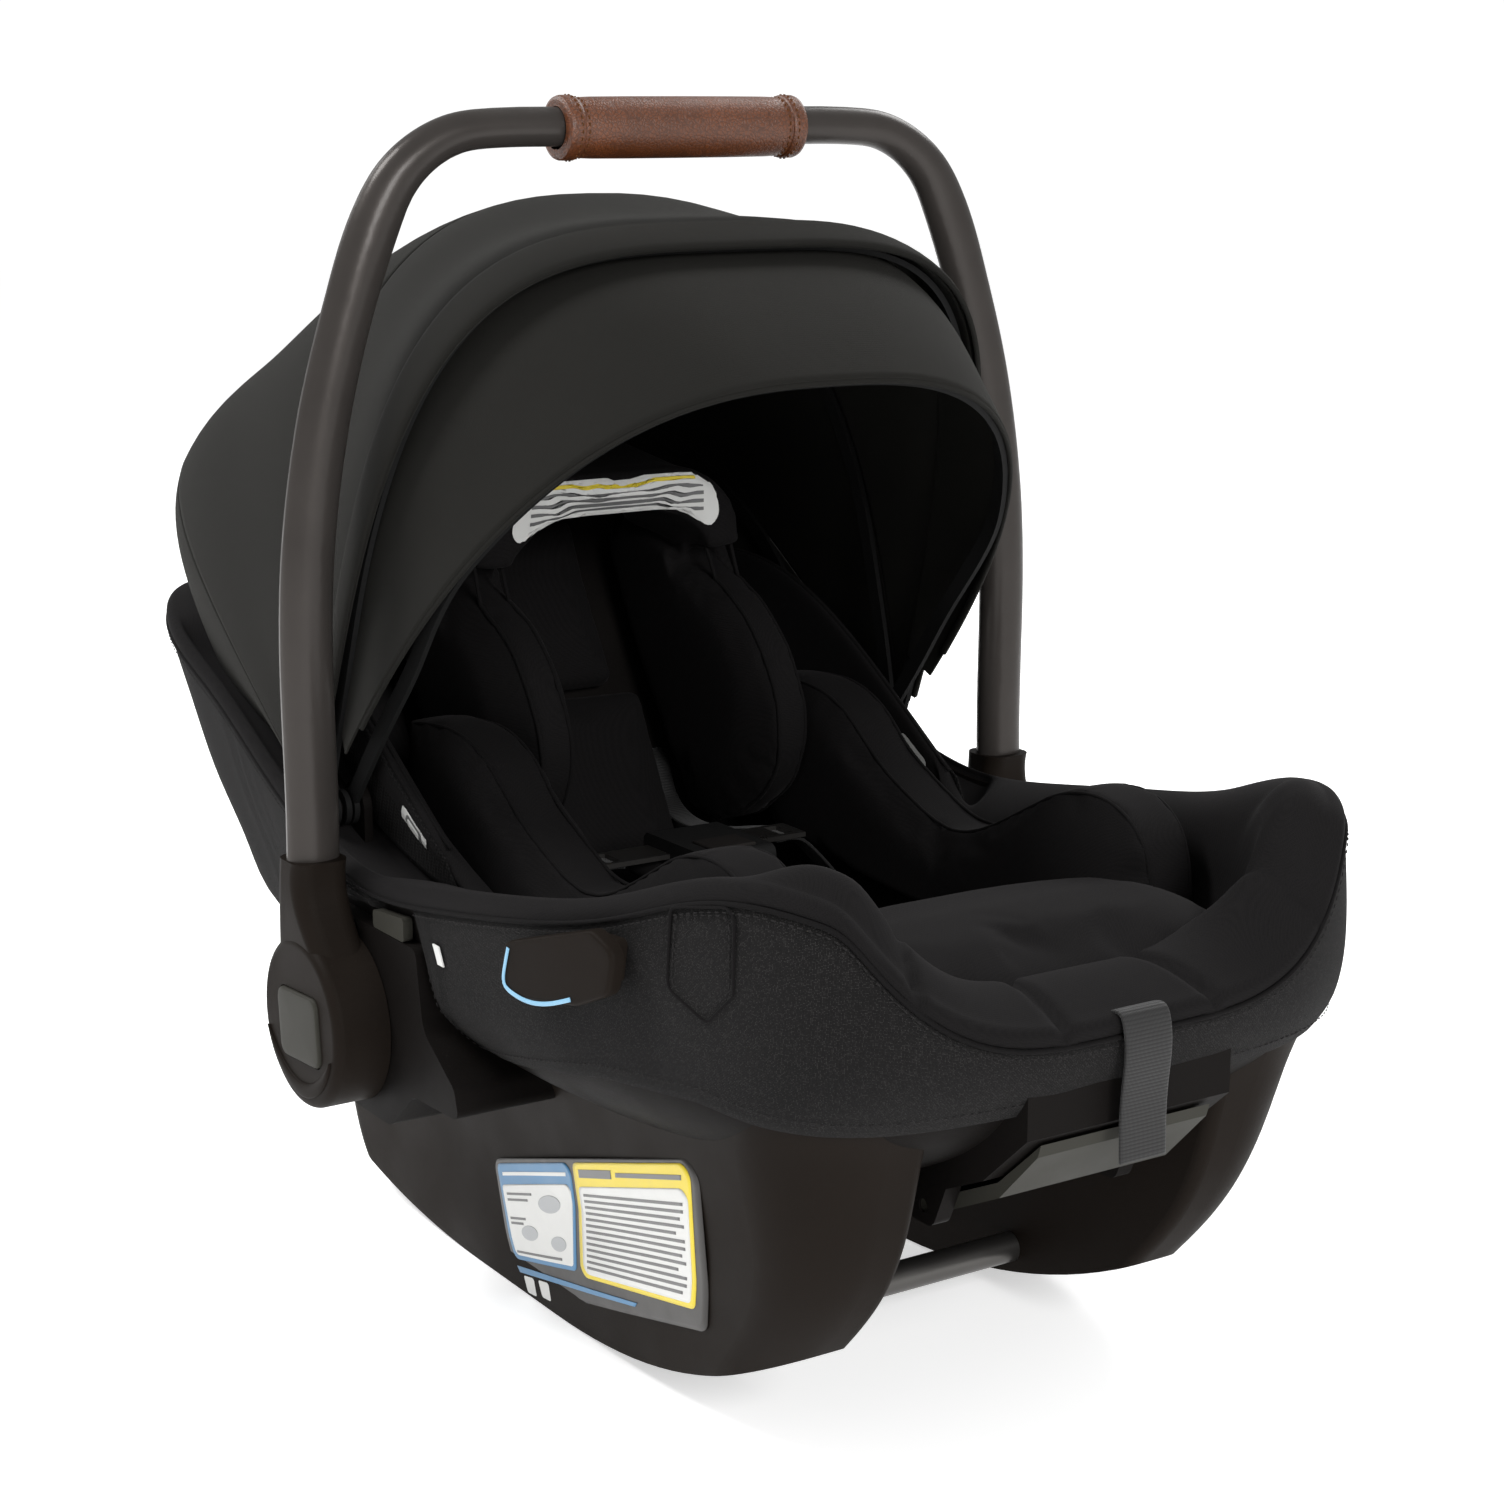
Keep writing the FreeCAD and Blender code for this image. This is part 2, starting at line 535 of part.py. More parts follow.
def hoop(phi, reach, half, square, step, flare0):
    o = arch(reach, half, square, 5.0, step, flare0)
    i = arch(reach - HOOP_T, half - HOOP_T, square, 5.0, step, flare0)
    bow = Part.Face(arch_face(o, i)).extrude(V(0, HOOP_W, 0))
    bow.translate(V(0, -HOOP_W / 2, 0))
    x1 = half - step + ARM_DISC_LIP
    for s in (-1, 1):
        a = x1 - ARM_DISC_T if s > 0 else -x1
        bow = bow.fuse(Part.makeCylinder(ARM_DISC_R, ARM_DISC_T, V(a, 0, 0), V(1, 0, 0)))
        bow = bow.cut(Part.makeCylinder(4.0 + RUN, 40, V(a - 10, 0, 0), V(1, 0, 0)))
    return to_angle(bow, phi)


for name, spec in HOOPS.items():
    keep("canopy_hoop_" + name, hoop(*spec))

# cloth: angle, reach of its inner face, half width of its inner face, squareness
REAR_CLOTH = [(15.5, 239.5, 162.0, 5.5), (24.0, 270.0, 170.5, 5.5), (31.0, 295.4, 176.2, 5.1), (34.0, 297.0, 177.0, 5.0)]
MID_CLOTH = [
    (34.3, 297.0, 177.0, 5.0), (37.5, 296.4, 176.8, 4.7), (50.0, 286.5, 175.5, 3.7), (65.0, 290.5, 176.0, 2.9),
    (77.0, 296.4, 176.5, 2.55), (79.8, 296.7, 176.6, 2.5),
]
FRONT_CLOTH = [
    (80.2, 296.7, 176.6, 2.5), (83.5, 296.0, 176.7, 2.55), (95.0, 287.0, 177.0, 3.0), (105.0, 293.5, 177.2, 3.6),
    (111.8, 295.2, 177.4, 3.8),
]
VISOR_CLOTH = [(106.0, 289.2, 171.2, 3.6), (112.0, 289.2, 171.2, 3.5), (122.0, 289.0, 172.6, 3.0), (131.0, 287.9, 174.9, 2.7)]
HEM_CLOTH = [(107.2, 294.6, 178.9, 3.7), (109.6, 296.4, 179.0, 3.75), (112.0, 296.6, 179.0, 3.8)]


def cloth(sections, h0, thick):
    wires = []
    for phi, reach, half, square in sections:
        w = arch_face(arch(reach + thick, half + thick, square, h0), arch(reach, half, square, h0))
        wires.append(to_angle(w, phi))
    return Part.makeLoft(wires, True)


keep("canopy_rear_cloth", cloth(REAR_CLOTH, 34.0, CAN_T))
keep("canopy_mid_cloth", cloth(MID_CLOTH, 16.0, CAN_T))
keep("canopy_visor_cloth", cloth(VISOR_CLOTH, 46.0, CAN_T))
front_cloth = cloth(FRONT_CLOTH, 16.0, CAN_T)
keep("canopy_front_cloth", front_cloth.fuse(cloth(HEM_CLOTH, 22.0, 1.6)))

# ---------------------------------------------------------------- head rest, on a 60 degree back line
BACK = V(0, 150.0, 240.0)
ALONG = V(0, 0.5, math.sqrt(3) / 2)
OUT = V(0, -math.sqrt(3) / 2, 0.5)


def on_back(s, t):
    q = BACK + ALONG * s + OUT * t
    return (q.y, q.z)


def slab(s0, s1, t0, t1, x0, x1, r=0.0):
    return prism_x([on_back(s0, t0), on_back(s1, t0), on_back(s1, t1), on_back(s0, t1)], x0, x1, r)


BOARD_W = 88.0
board = slab(-14.0, 166.0, -8.0, -3.0, -BOARD_W, BOARD_W)
keep("headrest_board", board)
plate = slab(22.0, 122.0, -3.0, 16.0, -34.0, 34.0, 5.0)
keep("headrest_pad", plate)
WING_X0, WING_X1 = 60.0, 84.0
wing_edge = [on_back(122.0, -3.0), (168, 353), (119, 347), (84, 331), (55, 311), (36, 287), (25, 258), (31, 228),
             (58, 201), (90, 187), on_back(-58.0, -3.0)]
wing_pts = [V(WING_X0, y, z) for y, z in wing_edge]
wing = Part.Face(Part.Wire([spline(wing_pts), Part.makeLine(wing_pts[-1], wing_pts[0])])).extrude(
    V(WING_X1 - WING_X0, 0, 0))
wing = wing.cut(box(0, 100, 0, 300, 100, on_back(-14.0, -3.0)[1]).cut(box(0, 100, 0, on_back(-14.0, -3.0)[0] - 8, 100, 300)))

HALO_Y0, HALO_Y1 = 86.0, 190.0
halo = Part.Face(rounded_wire([(-82, 352.4), (-82, 404), (82, 404), (82, 352.4)], [0, 50, 50, 0],
                              lambda q: V(q.x, HALO_Y0, q.y))).extrude(V(0, HALO_Y1 - HALO_Y0, 0))
halo = halo.cut(Part.Face(rounded_wire([(-60, 340), (-60, 378), (60, 378), (60, 340)], [0, 34, 34, 0],
                                       lambda q: V(q.x, HALO_Y0 - 5, q.y))).extrude(V(0, 140, 0)))
back_half = prism_x([on_back(60, -3.0), on_back(220, -3.0), (420, 460), (420, 260)], -120, 120)
halo = halo.cut(back_half)
head_cushion = halo.fuse(wing).fuse(wing.mirror(V(0, 0, 0), V(1, 0, 0)))
keep("headrest_cushion", head_cushion)

# ---------------------------------------------------------------- padding inside the bowl
cavity_soft = bowl(PAD_LEVELS, -SOFT_GAP, SOFT_GAP)
back_insert = prism_x([on_back(-98.0, -9.0), on_back(112.0, -9.0), (322, on_back(112.0, -9.0)[1]), (322, 240), (150, 140),
                       (60, 140)], -118.0, 118.0)
back_insert = back_insert.common(cavity_soft).common(below_rim(2.0))
back_insert = sorted(back_insert.Solids, key=lambda s: -s.Volume)[0]
SPLIT = slab(-40.0, 240.0, -9.0, 60.0, -BOARD_W - 2, BOARD_W + 2)
back_insert = back_insert.cut(SPLIT)
low_back = slab(-97.0, 16.0, -2.4, 24.0, -43.0, 43.0, 8.0).common(cavity_soft)
low_back = sorted(low_back.Solids, key=lambda s: -s.Volume)[0]
keep("lower_back_pad", low_back)
cushion = prism_x([(-150, 150.4), (62, 150.4), (74, 168), (60, 172), (-150, 172)], -86.0, 86.0, [0, 4, 5, 5, 6])
cushion = cushion.common(cavity_soft).cut(low_back).cut(back_insert)
cushion = sorted(cushion.Solids, key=lambda s: -s.Volume)[0]
keep("seat_cushion", cushion)
SIDE_X0, SIDE_X1 = 90.0, 122.0
side_top = [(104, 268), (60, 277), (18, 272), (-8, 258), (-44, 242), (-78, 232), (-118, 243), (-156, 257),
            (-194, 264), (-221, 255), (-234, 238), (-236, 214), (-232, 190), (-214, 177)]
side_pts = [V(SIDE_X0, y, z) for y, z in side_top]
side_low = [side_pts[-1], V(SIDE_X0, -150, 172.4), V(SIDE_X0, 70, 172.4), V(SIDE_X0, 108, 200), side_pts[0]]
side = Part.Face(Part.Wire([spline(side_pts)] + [
    Part.makeLine(side_low[k], side_low[k + 1]) for k in range(4)])).extrude(V(SIDE_X1 - SIDE_X0, 0, 0))
side = side.common(cavity_soft)
side = side.cut(back_insert)
side = sorted(side.Solids, key=lambda s: -s.Volume)[0]
both("body_wing", side)
foot_roll = prism_x([(-300, 194), (-298, 211), (-284, 219), (-240, 221), (-196, 216), (-184, 200), (-178, 176),
                     (-151, 172), (-151, 151), (-216, 151), (-262, 178)], -104.0, 104.0,
                    [0, 6, 10, 30, 12, 14, 6, 3, 2, 0, 0])
foot_roll = foot_roll.common(cavity_soft).cut(side).cut(side.mirror(V(0, 0, 0), V(1, 0, 0)))
foot_roll = sorted(foot_roll.Solids, key=lambda s: -s.Volume)[0]

# ---------------------------------------------------------------- harness
crotch_pad = prism_x([(-34, 193), (28, 193), (28, 199.6), (-34, 199.6)], -35.0, 35.0, 3.0)
keep("crotch_pad", crotch_pad)
BUCKLE = dict(x=21.0, y0=-30.0, y1=30.0, z0=200.0, z1=214.0)
TONGUE_Z0, TONGUE_Z1 = 205.0, 207.5
body = prism_x([(BUCKLE["y0"], BUCKLE["z0"]), (BUCKLE["y1"], BUCKLE["z0"]), (BUCKLE["y1"], BUCKLE["z1"]),
                (BUCKLE["y0"], BUCKLE["z1"])], -BUCKLE["x"], BUCKLE["x"], [2, 2, 5, 5])
body = body.cut(box(-13.0, 13.0, -24.0, -4.0, 209.4, 220.0))
keep_body = body
press = box(-12.7, 12.7, -23.7, -4.3, 212.4, 215.4)
press = press.makeFillet(1.0, [e for e in press.Edges if e.BoundBox.ZMin > 215.0])
keep("buckle_button", press)
tongue = box(10.0, 62.0, 4.0, 26.0, TONGUE_Z0, TONGUE_Z1)
tongue = tongue.cut(box(48.0, 56.0, 7.0, 23.0, 200, 210))
keep_body = keep_body.cut(tongue).cut(tongue.mirror(V(0, 0, 0), V(1, 0, 0)))
keep("buckle_body", keep_body)
both("buckle_tongue", tongue)
crotch_strap = box(-12.5, 12.5, -4.0, -4.0 + STRAP_T, 172.0, 193.0)
keep("crotch_strap", crotch_strap)


def ribbon_yz(points, x0, x1):
    """Webbing that runs in the (y, z) plane: centre line given, thickness STRAP_T."""
    left, right = [], []
    for i, (y, z) in enumerate(points):
        a = points[max(0, i - 1)]
        b = points[min(len(points) - 1, i + 1)]
        d = math.hypot(b[0] - a[0], b[1] - a[1])
        ny, nz = -(b[1] - a[1]) / d, (b[0] - a[0]) / d
        left.append((y + ny * STRAP_T / 2, z + nz * STRAP_T / 2))
        right.append((y - ny * STRAP_T / 2, z - nz * STRAP_T / 2))
    return prism_x(left + list(reversed(right)), x0, x1)


shoulder = ribbon_yz([on_back(-16.5, -18.0), on_back(-16.5, -1.0), on_back(-20.0, 1.2), on_back(-40.0, 1.2), (70, 196), (24, 206.2)],
                     45.5, 58.5)
shoulder = shoulder.cut(tongue)
shoulder = sorted(shoulder.Solids, key=lambda s: -s.Volume)[0]
both("shoulder_strap", shoulder)
back_insert = back_insert.cut(nodes["shoulder_strap_right"]).cut(nodes["shoulder_strap_left"])
keep("back_insert", sorted(back_insert.Solids, key=lambda s: -s.Volume)[0])
lap_pts = [(89.6, 174.0), (80.0, 186.0), (62.0, 204.1), (44.0, 204.1)]
lap = Part.Face(Part.makePolygon([V(x, 6.0, z) for x, z in
                                  [(89.6, 173.0), (79.0, 184.6), (61.5, 202.9), (46.0, 202.9), (46.0, 204.9), (62.5, 204.9),
                                   (80.6, 186.0), (89.6, 176.0), (89.6, 173.0)]])).extrude(V(0, 18.0, 0))
both("lap_strap", lap)

adj = box(-20.0, 20.0, -318.0, -292.0, 205.0, 214.0)
adj = adj.makeFillet(2.5, [e for e in adj.Edges if e.BoundBox.ZMin > 213.0 or e.BoundBox.ZMax - e.BoundBox.ZMin > 8.0])
strap_line = [(-300.0, 208.9), (-319.0, 208.9), (-326.0, 212.4), (-331.0, 214.6), (-335.2, 213.8), (FRONT_Y + STRAP_T / 2, 210.4),
              (FRONT_Y + STRAP_T / 2, 150.0)]
adjuster_strap = ribbon_yz(strap_line, -12.5, 12.5)
adj = adj.cut(box(-12.5, 12.5, -330.0, -299.5, 207.6, 210.2)).cut(box(-8.3, 8.3, -313.3, -300.7, 211.4, 230.0))
keep("adjuster_button", box(-8.0, 8.0, -313.0, -301.0, 213.4, 216.0))
foot_roll = foot_roll.cut(box(-20.4, 20.4, -330.0, -291.6, 203.0, 240.0))
keep("foot_roll", foot_roll)
for part_name in ("rim_cover", "seat_pad", "foam_liner", "seat_shell"):
    nodes[part_name] = nodes[part_name].cut(box(-20, 20, -318, -292, 205, 214)).cut(adjuster_strap)
keep("adjuster_strap", adjuster_strap)
keep("adjuster_housing", adj)

# ---------------------------------------------------------------- base release lever and side label
lever = prism_x([(-255, 112), (-262, 111), (-300, 130), (-325, 156), (-327, 162), (-299, 136.6), (-263, 119), (-255, 118)],
                -46.0, 46.0)
lever = lever.fuse(cyl_x(LEVER_AXIS[0], LEVER_AXIS[1], 3.0, -54.0, 54.0))
keep("base_release_lever", lever)

label_zone = prism_x([(-8, 60), (-204, 137), (-198, 54), (-8, 20)], 90.0, 170.0, 6.0)
side_label = skirt_block(-0.6).cut(skirt_block(0.0)).common(label_zone)
side_label = sorted(side_label.Solids, key=lambda s: -s.Volume)[0]
keep("side_label", side_label.mirror(V(0, 0, 0), V(1, 0, 0)))

for n, s in nodes.items():
    s.exportStep("parts/" + n + ".step")
    b = s.BoundBox
    print("%-24s solids %d valid %s vol %.0f  x %.1f %.1f y %.1f %.1f z %.1f %.1f" % (
        n, len(s.Solids), s.isValid(), s.Volume, b.XMin, b.XMax, b.YMin, b.YMax, b.ZMin, b.ZMax))
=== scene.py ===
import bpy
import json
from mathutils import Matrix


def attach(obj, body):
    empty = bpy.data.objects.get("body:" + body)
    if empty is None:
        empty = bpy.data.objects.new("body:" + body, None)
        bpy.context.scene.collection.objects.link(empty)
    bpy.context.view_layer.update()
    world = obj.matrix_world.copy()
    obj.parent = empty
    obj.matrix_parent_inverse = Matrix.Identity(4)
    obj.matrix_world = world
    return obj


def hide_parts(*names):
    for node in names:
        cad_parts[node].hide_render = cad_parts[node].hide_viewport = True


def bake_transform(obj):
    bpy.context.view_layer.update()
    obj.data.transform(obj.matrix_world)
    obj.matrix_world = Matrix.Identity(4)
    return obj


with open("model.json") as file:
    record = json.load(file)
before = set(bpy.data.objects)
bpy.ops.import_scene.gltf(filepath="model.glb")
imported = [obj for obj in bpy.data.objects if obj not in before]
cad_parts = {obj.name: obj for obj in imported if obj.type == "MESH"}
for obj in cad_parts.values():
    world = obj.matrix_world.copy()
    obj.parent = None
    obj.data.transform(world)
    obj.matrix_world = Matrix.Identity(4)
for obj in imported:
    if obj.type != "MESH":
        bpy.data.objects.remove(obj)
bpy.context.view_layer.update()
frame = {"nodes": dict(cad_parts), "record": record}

import json
import math

import bmesh
import bpy
import numpy as np
from bpy.props import FloatProperty, FloatVectorProperty, IntProperty, PointerProperty
from mathutils.bvhtree import BVHTree

bl_info = {
    "name": "Infant Carrier Finish",
    "version": (1, 0, 0),
    "blender": (4, 5, 0),
    "location": "View3D > Sidebar > Carrier",
    "description": "Makes the soft and moulded finish of an infant carrier over its CAD frame",
    "category": "Object",
}

MM = 0.001

# Shapes shared with the frame, in millimetres.
PLAN = np.array([
    (0.0, 0.0), (0.32, 0.0015), (0.58, 0.019), (0.73, 0.046), (0.84, 0.10), (0.92, 0.204),
    (0.98, 0.32), (1.0, 0.426), (1.0, 0.53), (0.99, 0.65), (0.965, 0.78), (0.935, 0.88),
    (0.90, 0.95), (0.82, 0.985), (0.62, 0.999), (0.32, 1.0), (0.0, 1.0),
])
SHELL_LEVELS = np.array([
    (75.0, -170.0, 90.0, 74.0), (100.0, -215.0, 118.0, 95.0), (136.0, -268.0, 172.0, 140.0),
    (165.0, -309.0, 197.0, 175.0), (195.0, -328.3, 217.0, 184.0), (226.0, -331.8, 251.0, 186.0),
    (260.0, -331.8, 284.0, 186.0), (300.0, -331.8, 320.0, 186.0), (330.0, -331.8, 336.85, 186.0),
])
PAD_LEVELS = np.array([
    (150.0, -215.0, 85.0, 90.0), (175.0, -262.0, 122.0, 118.0), (200.0, -292.0, 168.0, 138.0),
    (235.0, -308.0, 222.0, 146.0), (275.0, -315.0, 266.0, 148.0), (330.0, -318.0, 306.0, 149.0),
])
PAD_TOP = np.array([
    (-350, 191), (-340, 207), (-326, 245), (-307, 265), (-270, 273), (-200, 253), (-120, 235), (-50, 223),
    (-8, 228),
    (24, 246), (60, 270), (111, 300), (166, 320), (215, 322), (260, 310), (300, 304), (352, 317),
], float)
RIM_TOP = np.array([
    (-350, 196), (-340, 212), (-326, 250), (-307, 270), (-270, 278), (-200, 258), (-120, 240), (-50, 228),
    (20, 222), (100, 240), (200, 275), (280, 300), (325, 315), (352, 322),
], float)
HEM = np.array([
    (-350, 176), (-310, 174), (-280, 176), (-250, 181), (-190, 176), (-120, 160), (-62, 146), (-50, 207),
    (74, 207), (100, 186), (112, 138), (180, 136), (352, 136),
], float)
COVER_T = 4.0
PIVOT = np.array((0.0, 80.0, 236.0))
BACK = np.array((0.0, 150.0, 240.0))
ALONG = np.array((0.0, 0.5, math.sqrt(0.75)))
OUT = np.array((0.0, -math.sqrt(0.75), 0.5))
HUB = np.array((0.0, 19.0, 150.0))
GRIP_Z, TUBE_Y = 566.5, 27.0
GUIDE_X, GUIDE_Y = 172, -186
RIM_ROUND = 1850         # length round the rim that turns a share of it into millimetres
TAB_Y = -22.0            # middle of a release tab, along the carrier
TAB_HALF, TAB_STEP = 27.0, 9.0
SKIRT_X = np.array([(-6.0, 117.0), (31.0, 124.0), (72.0, 128.0), (120.0, 138.0), (176.0, 150.0)])

# Cloth panels of the canopy: angle from +Y round the pivot, reach, half width, squareness of the arch.
REAR_PANEL = np.array([
    (15.5, 240.9, 163.4, 5.5), (24, 271.4, 171.9, 5.5), (31, 296.8, 177.6, 5.1), (34, 298.4, 178.4, 5.0),
])
MID_PANEL = np.array([
    (34.3, 298.4, 178.4, 5.0), (37.5, 297.8, 178.2, 4.7), (50, 287.9, 176.9, 3.7), (65, 291.9, 177.4, 2.9),
    (77, 297.8, 177.9, 2.55), (79.8, 298.1, 178.0, 2.5),
])
FRONT_PANEL = np.array([
    (80.2, 298.1, 178.0, 2.5), (83.5, 297.4, 178.1, 2.55), (95, 288.4, 178.4, 3.0), (105, 294.9, 178.6, 3.6),
    (111.8, 296.6, 178.8, 3.8),
])
VISOR_PANEL = np.array([
    (106, 290.6, 172.6, 3.6), (112, 290.6, 172.6, 3.5), (122, 290.4, 174.0, 3.0), (131, 289.3, 176.3, 2.7),
])


# ---------------------------------------------------------------- surfaces
def cubic(knots, values, at, closed=False):
    """Smooth curve through values at knots: cubic pieces whose second slopes come from one linear system."""
    k, v, at = np.asarray(knots, float), np.asarray(values, float), np.asarray(at, float)
    h = np.diff(k)
    n = len(k)
    slope = np.diff(v, axis=0) / h[:, None]
    a = np.zeros((n, n))
    b = np.zeros_like(v)
    i = np.arange(1, n - 1)
    a[i, i - 1], a[i, i], a[i, i + 1] = h[:-1], 2 * (h[:-1] + h[1:]), h[1:]
    b[1:-1] = 6 * (slope[1:] - slope[:-1])
    if closed:
        a[0, 0], a[0, 1], a[0, -2] = 2 * (h[0] + h[-1]), h[0], h[-1]
        b[0] = 6 * (slope[0] - slope[-1])
        a[-1, 0], a[-1, -1] = 1, -1
    else:
        a[0, 0] = a[-1, -1] = 1
    m = np.linalg.solve(a, b)
    j = np.clip(np.searchsorted(k, at.ravel(), side="right") - 1, 0, n - 2)
    d, w = (at.ravel() - k[j])[:, None], h[j][:, None]
    out = v[j] + d * (slope[j] - w * (2 * m[j] + m[j + 1]) / 6)
    out = out + d ** 2 * m[j] / 2 + d ** 3 * (m[j + 1] - m[j]) / (6 * w)
    return out.reshape(at.shape + v.shape[1:])


def along(points, n, closed=False):
    """n points spaced evenly along a smooth curve through the points given."""
    p = np.asarray(points, float)
    if closed:
        p = np.concatenate([p, p[:1]])
    s = np.concatenate([[0], np.cumsum(np.linalg.norm(np.diff(p, axis=0), axis=1))])
    fine = cubic(s, p, np.linspace(0, s[-1], 40 * len(p)), closed)
    t = np.concatenate([[0], np.cumsum(np.linalg.norm(np.diff(fine, axis=0), axis=1))])
    at = np.linspace(0, t[-1], n, endpoint=not closed)
    return np.stack([np.interp(at, t, fine[:, c]) for c in range(p.shape[1])], 1)


def surface(name, points, wrap_u=False, wrap_v=False, flip=False, weld=False):
    """Mesh of a grid of points (rows, columns, xyz) in mm. The UV map measures real distance along rows
    and columns, in mm."""
    p = np.asarray(points, float)
    nu, nv = p.shape[:2]
    q = np.concatenate([p, p[:1]], 0) if wrap_u else p
    q = np.concatenate([q, q[:, :1]], 1) if wrap_v else q
    step_u = np.linalg.norm(np.diff(q, axis=0), axis=2).mean(1)
    u = np.concatenate([[0], np.cumsum(step_u)])
    step_v = np.linalg.norm(np.diff(q, axis=1), axis=2)
    v = np.concatenate([np.zeros((len(q), 1)), np.cumsum(step_v, 1)], 1)
    a, b = np.meshgrid(np.arange(len(q) - 1), np.arange(q.shape[1] - 1), indexing="ij")
    corners = [(a, b), (a + 1, b), (a + 1, b + 1), (a, b + 1)]
    if flip:
        corners = corners[::-1]
    faces = np.stack([(i % nu) * nv + (j % nv) for i, j in corners], -1).reshape(-1, 4)
    uv = np.stack([np.stack([u[i], v[i, j]], -1) for i, j in corners], 2).reshape(-1, 2)
    mesh = bpy.data.meshes.new(name)
    mesh.vertices.add(nu * nv)
    mesh.vertices.foreach_set("co", (p * MM).astype(np.float32).ravel())
    mesh.loops.add(len(faces) * 4)
    mesh.loops.foreach_set("vertex_index", faces.ravel())
    mesh.polygons.add(len(faces))
    mesh.polygons.foreach_set("loop_start", np.arange(len(faces)) * 4)
    mesh.uv_layers.new(name="UVMap").data.foreach_set("uv", uv.astype(np.float32).ravel())
    mesh.update(calc_edges=True)
    mesh.validate()
    mesh.polygons.foreach_set("use_smooth", np.ones(len(mesh.polygons), bool))
    obj = bpy.data.objects.new(name, mesh)
    bpy.context.scene.collection.objects.link(obj)
    if weld:
        tidy_mesh(obj)
    return obj


def tidy_mesh(obj, distance=2e-5):
    """Joins doubled points, drops faces with no area and turns all faces outwards."""
    bm = bmesh.new()
    bm.from_mesh(obj.data)
    bmesh.ops.remove_doubles(bm, verts=bm.verts, dist=distance)
    bmesh.ops.dissolve_degenerate(bm, edges=bm.edges, dist=1e-6)
    bmesh.ops.recalc_face_normals(bm, faces=bm.faces)
    bm.to_mesh(obj.data)
    bm.free()


def join(name, objects):
    """One mesh from several, keeping their UV maps and materials."""
    bpy.ops.object.select_all(action="DESELECT")
    for o in objects:
        o.select_set(True)
    bpy.context.view_layer.objects.active = objects[0]
    if len(objects) > 1:
        bpy.ops.object.join()
    objects[0].name = objects[0].data.name = name
    return objects[0]


def sweep(name, path, profile, side, closed=False):
    """A profile (across, up) carried along a path: across follows side made square to the path, up is
    the third direction."""
    p, prof = np.asarray(path, float), np.asarray(profile, float)
    if closed:
        t = np.roll(p, -1, 0) - np.roll(p, 1, 0)
    else:
        t = np.gradient(p, axis=0)
    t /= np.linalg.norm(t, axis=1)[:, None]
    s = np.broadcast_to(np.asarray(side, float), p.shape)
    s = s - t * (s * t).sum(1)[:, None]
    s = s / np.linalg.norm(s, axis=1)[:, None]
    n = np.cross(t, s)
    grid = p[:, None] + s[:, None] * prof[None, :, :1] + n[:, None] * prof[None, :, 1:]
    if not closed:
        first, last = (np.broadcast_to(end[:, None], grid[:1].shape) for end in (p[:1], p[-1:]))
        grid = np.concatenate([first, grid, last])
    return surface(name, grid, wrap_u=closed, wrap_v=True, weld=True)


def oval(width, height, n=20, power=4.0):
    """Rounded flat profile: a superellipse of the given width and height."""
    a = np.linspace(0, 2 * math.pi, n, endpoint=False)
    c, s = np.cos(a), np.sin(a)
    across = np.sign(c) * np.abs(c) ** (2 / power) * width / 2
    up = np.sign(s) * np.abs(s) ** (2 / power) * height / 2
    return np.stack([across, up], 1)


def rounded(points, radii, per_corner=7):
    """Closed outline with each corner turned into an arc that touches both of its sides."""
    p = np.asarray(points, float)
    out = []
    for i in range(len(p)):
        b = p[i]
        u, w = p[i - 1] - b, p[(i + 1) % len(p)] - b
        u, w = u / np.linalg.norm(u), w / np.linalg.norm(w)
        half = math.acos(np.clip(u @ w, -1, 1)) / 2
        r = radii[i] if hasattr(radii, "__len__") else radii
        centre = b + (u + w) / np.linalg.norm(u + w) * r / math.sin(half)
        s, e = b + u * r / math.tan(half) - centre, b + w * r / math.tan(half) - centre
        a0, a1 = math.atan2(s[1], s[0]), math.atan2(e[1], e[0])
        a1 += 2 * math.pi * round((a0 - a1) / (2 * math.pi))
        a = np.linspace(a0, a1, per_corner)
        out.append(centre + r * np.stack([np.cos(a), np.sin(a)], 1))
    return np.concatenate(out)


def plate(name, outline, x0, x1, edge, dome=0.0):
    """A slab facing along X: the outline (y, z) rises from x0, turns over a round edge and closes in a
    slight dome."""
    o = np.asarray(outline, float)
    c = o.mean(0)
    a = np.linspace(0, math.pi / 2, 6)
    inset = np.concatenate([[0.0], edge * (1 - np.cos(a))])
    level = np.concatenate([[0.0], (abs(x1 - x0) - edge) + edge * np.sin(a)])
    shrink = np.linspace(1, 0, 9)[1:]
    far = np.linalg.norm(o - c, axis=1)
    rim = c + (o - c)[:, None] * ((far[:, None] - inset) / far[:, None])[..., None]
    face = c + (rim[:, -1] - c)[:, None] * shrink[None, :, None]
    yz = np.concatenate([rim, face], 1)
    up = np.concatenate([level, level[-1] + dome * (1 - shrink ** 2)])
    x = x0 + math.copysign(1, x1 - x0) * np.broadcast_to(up, yz.shape[:2])
    return surface(name, np.concatenate([x[..., None], yz], 2), wrap_u=True, weld=True)


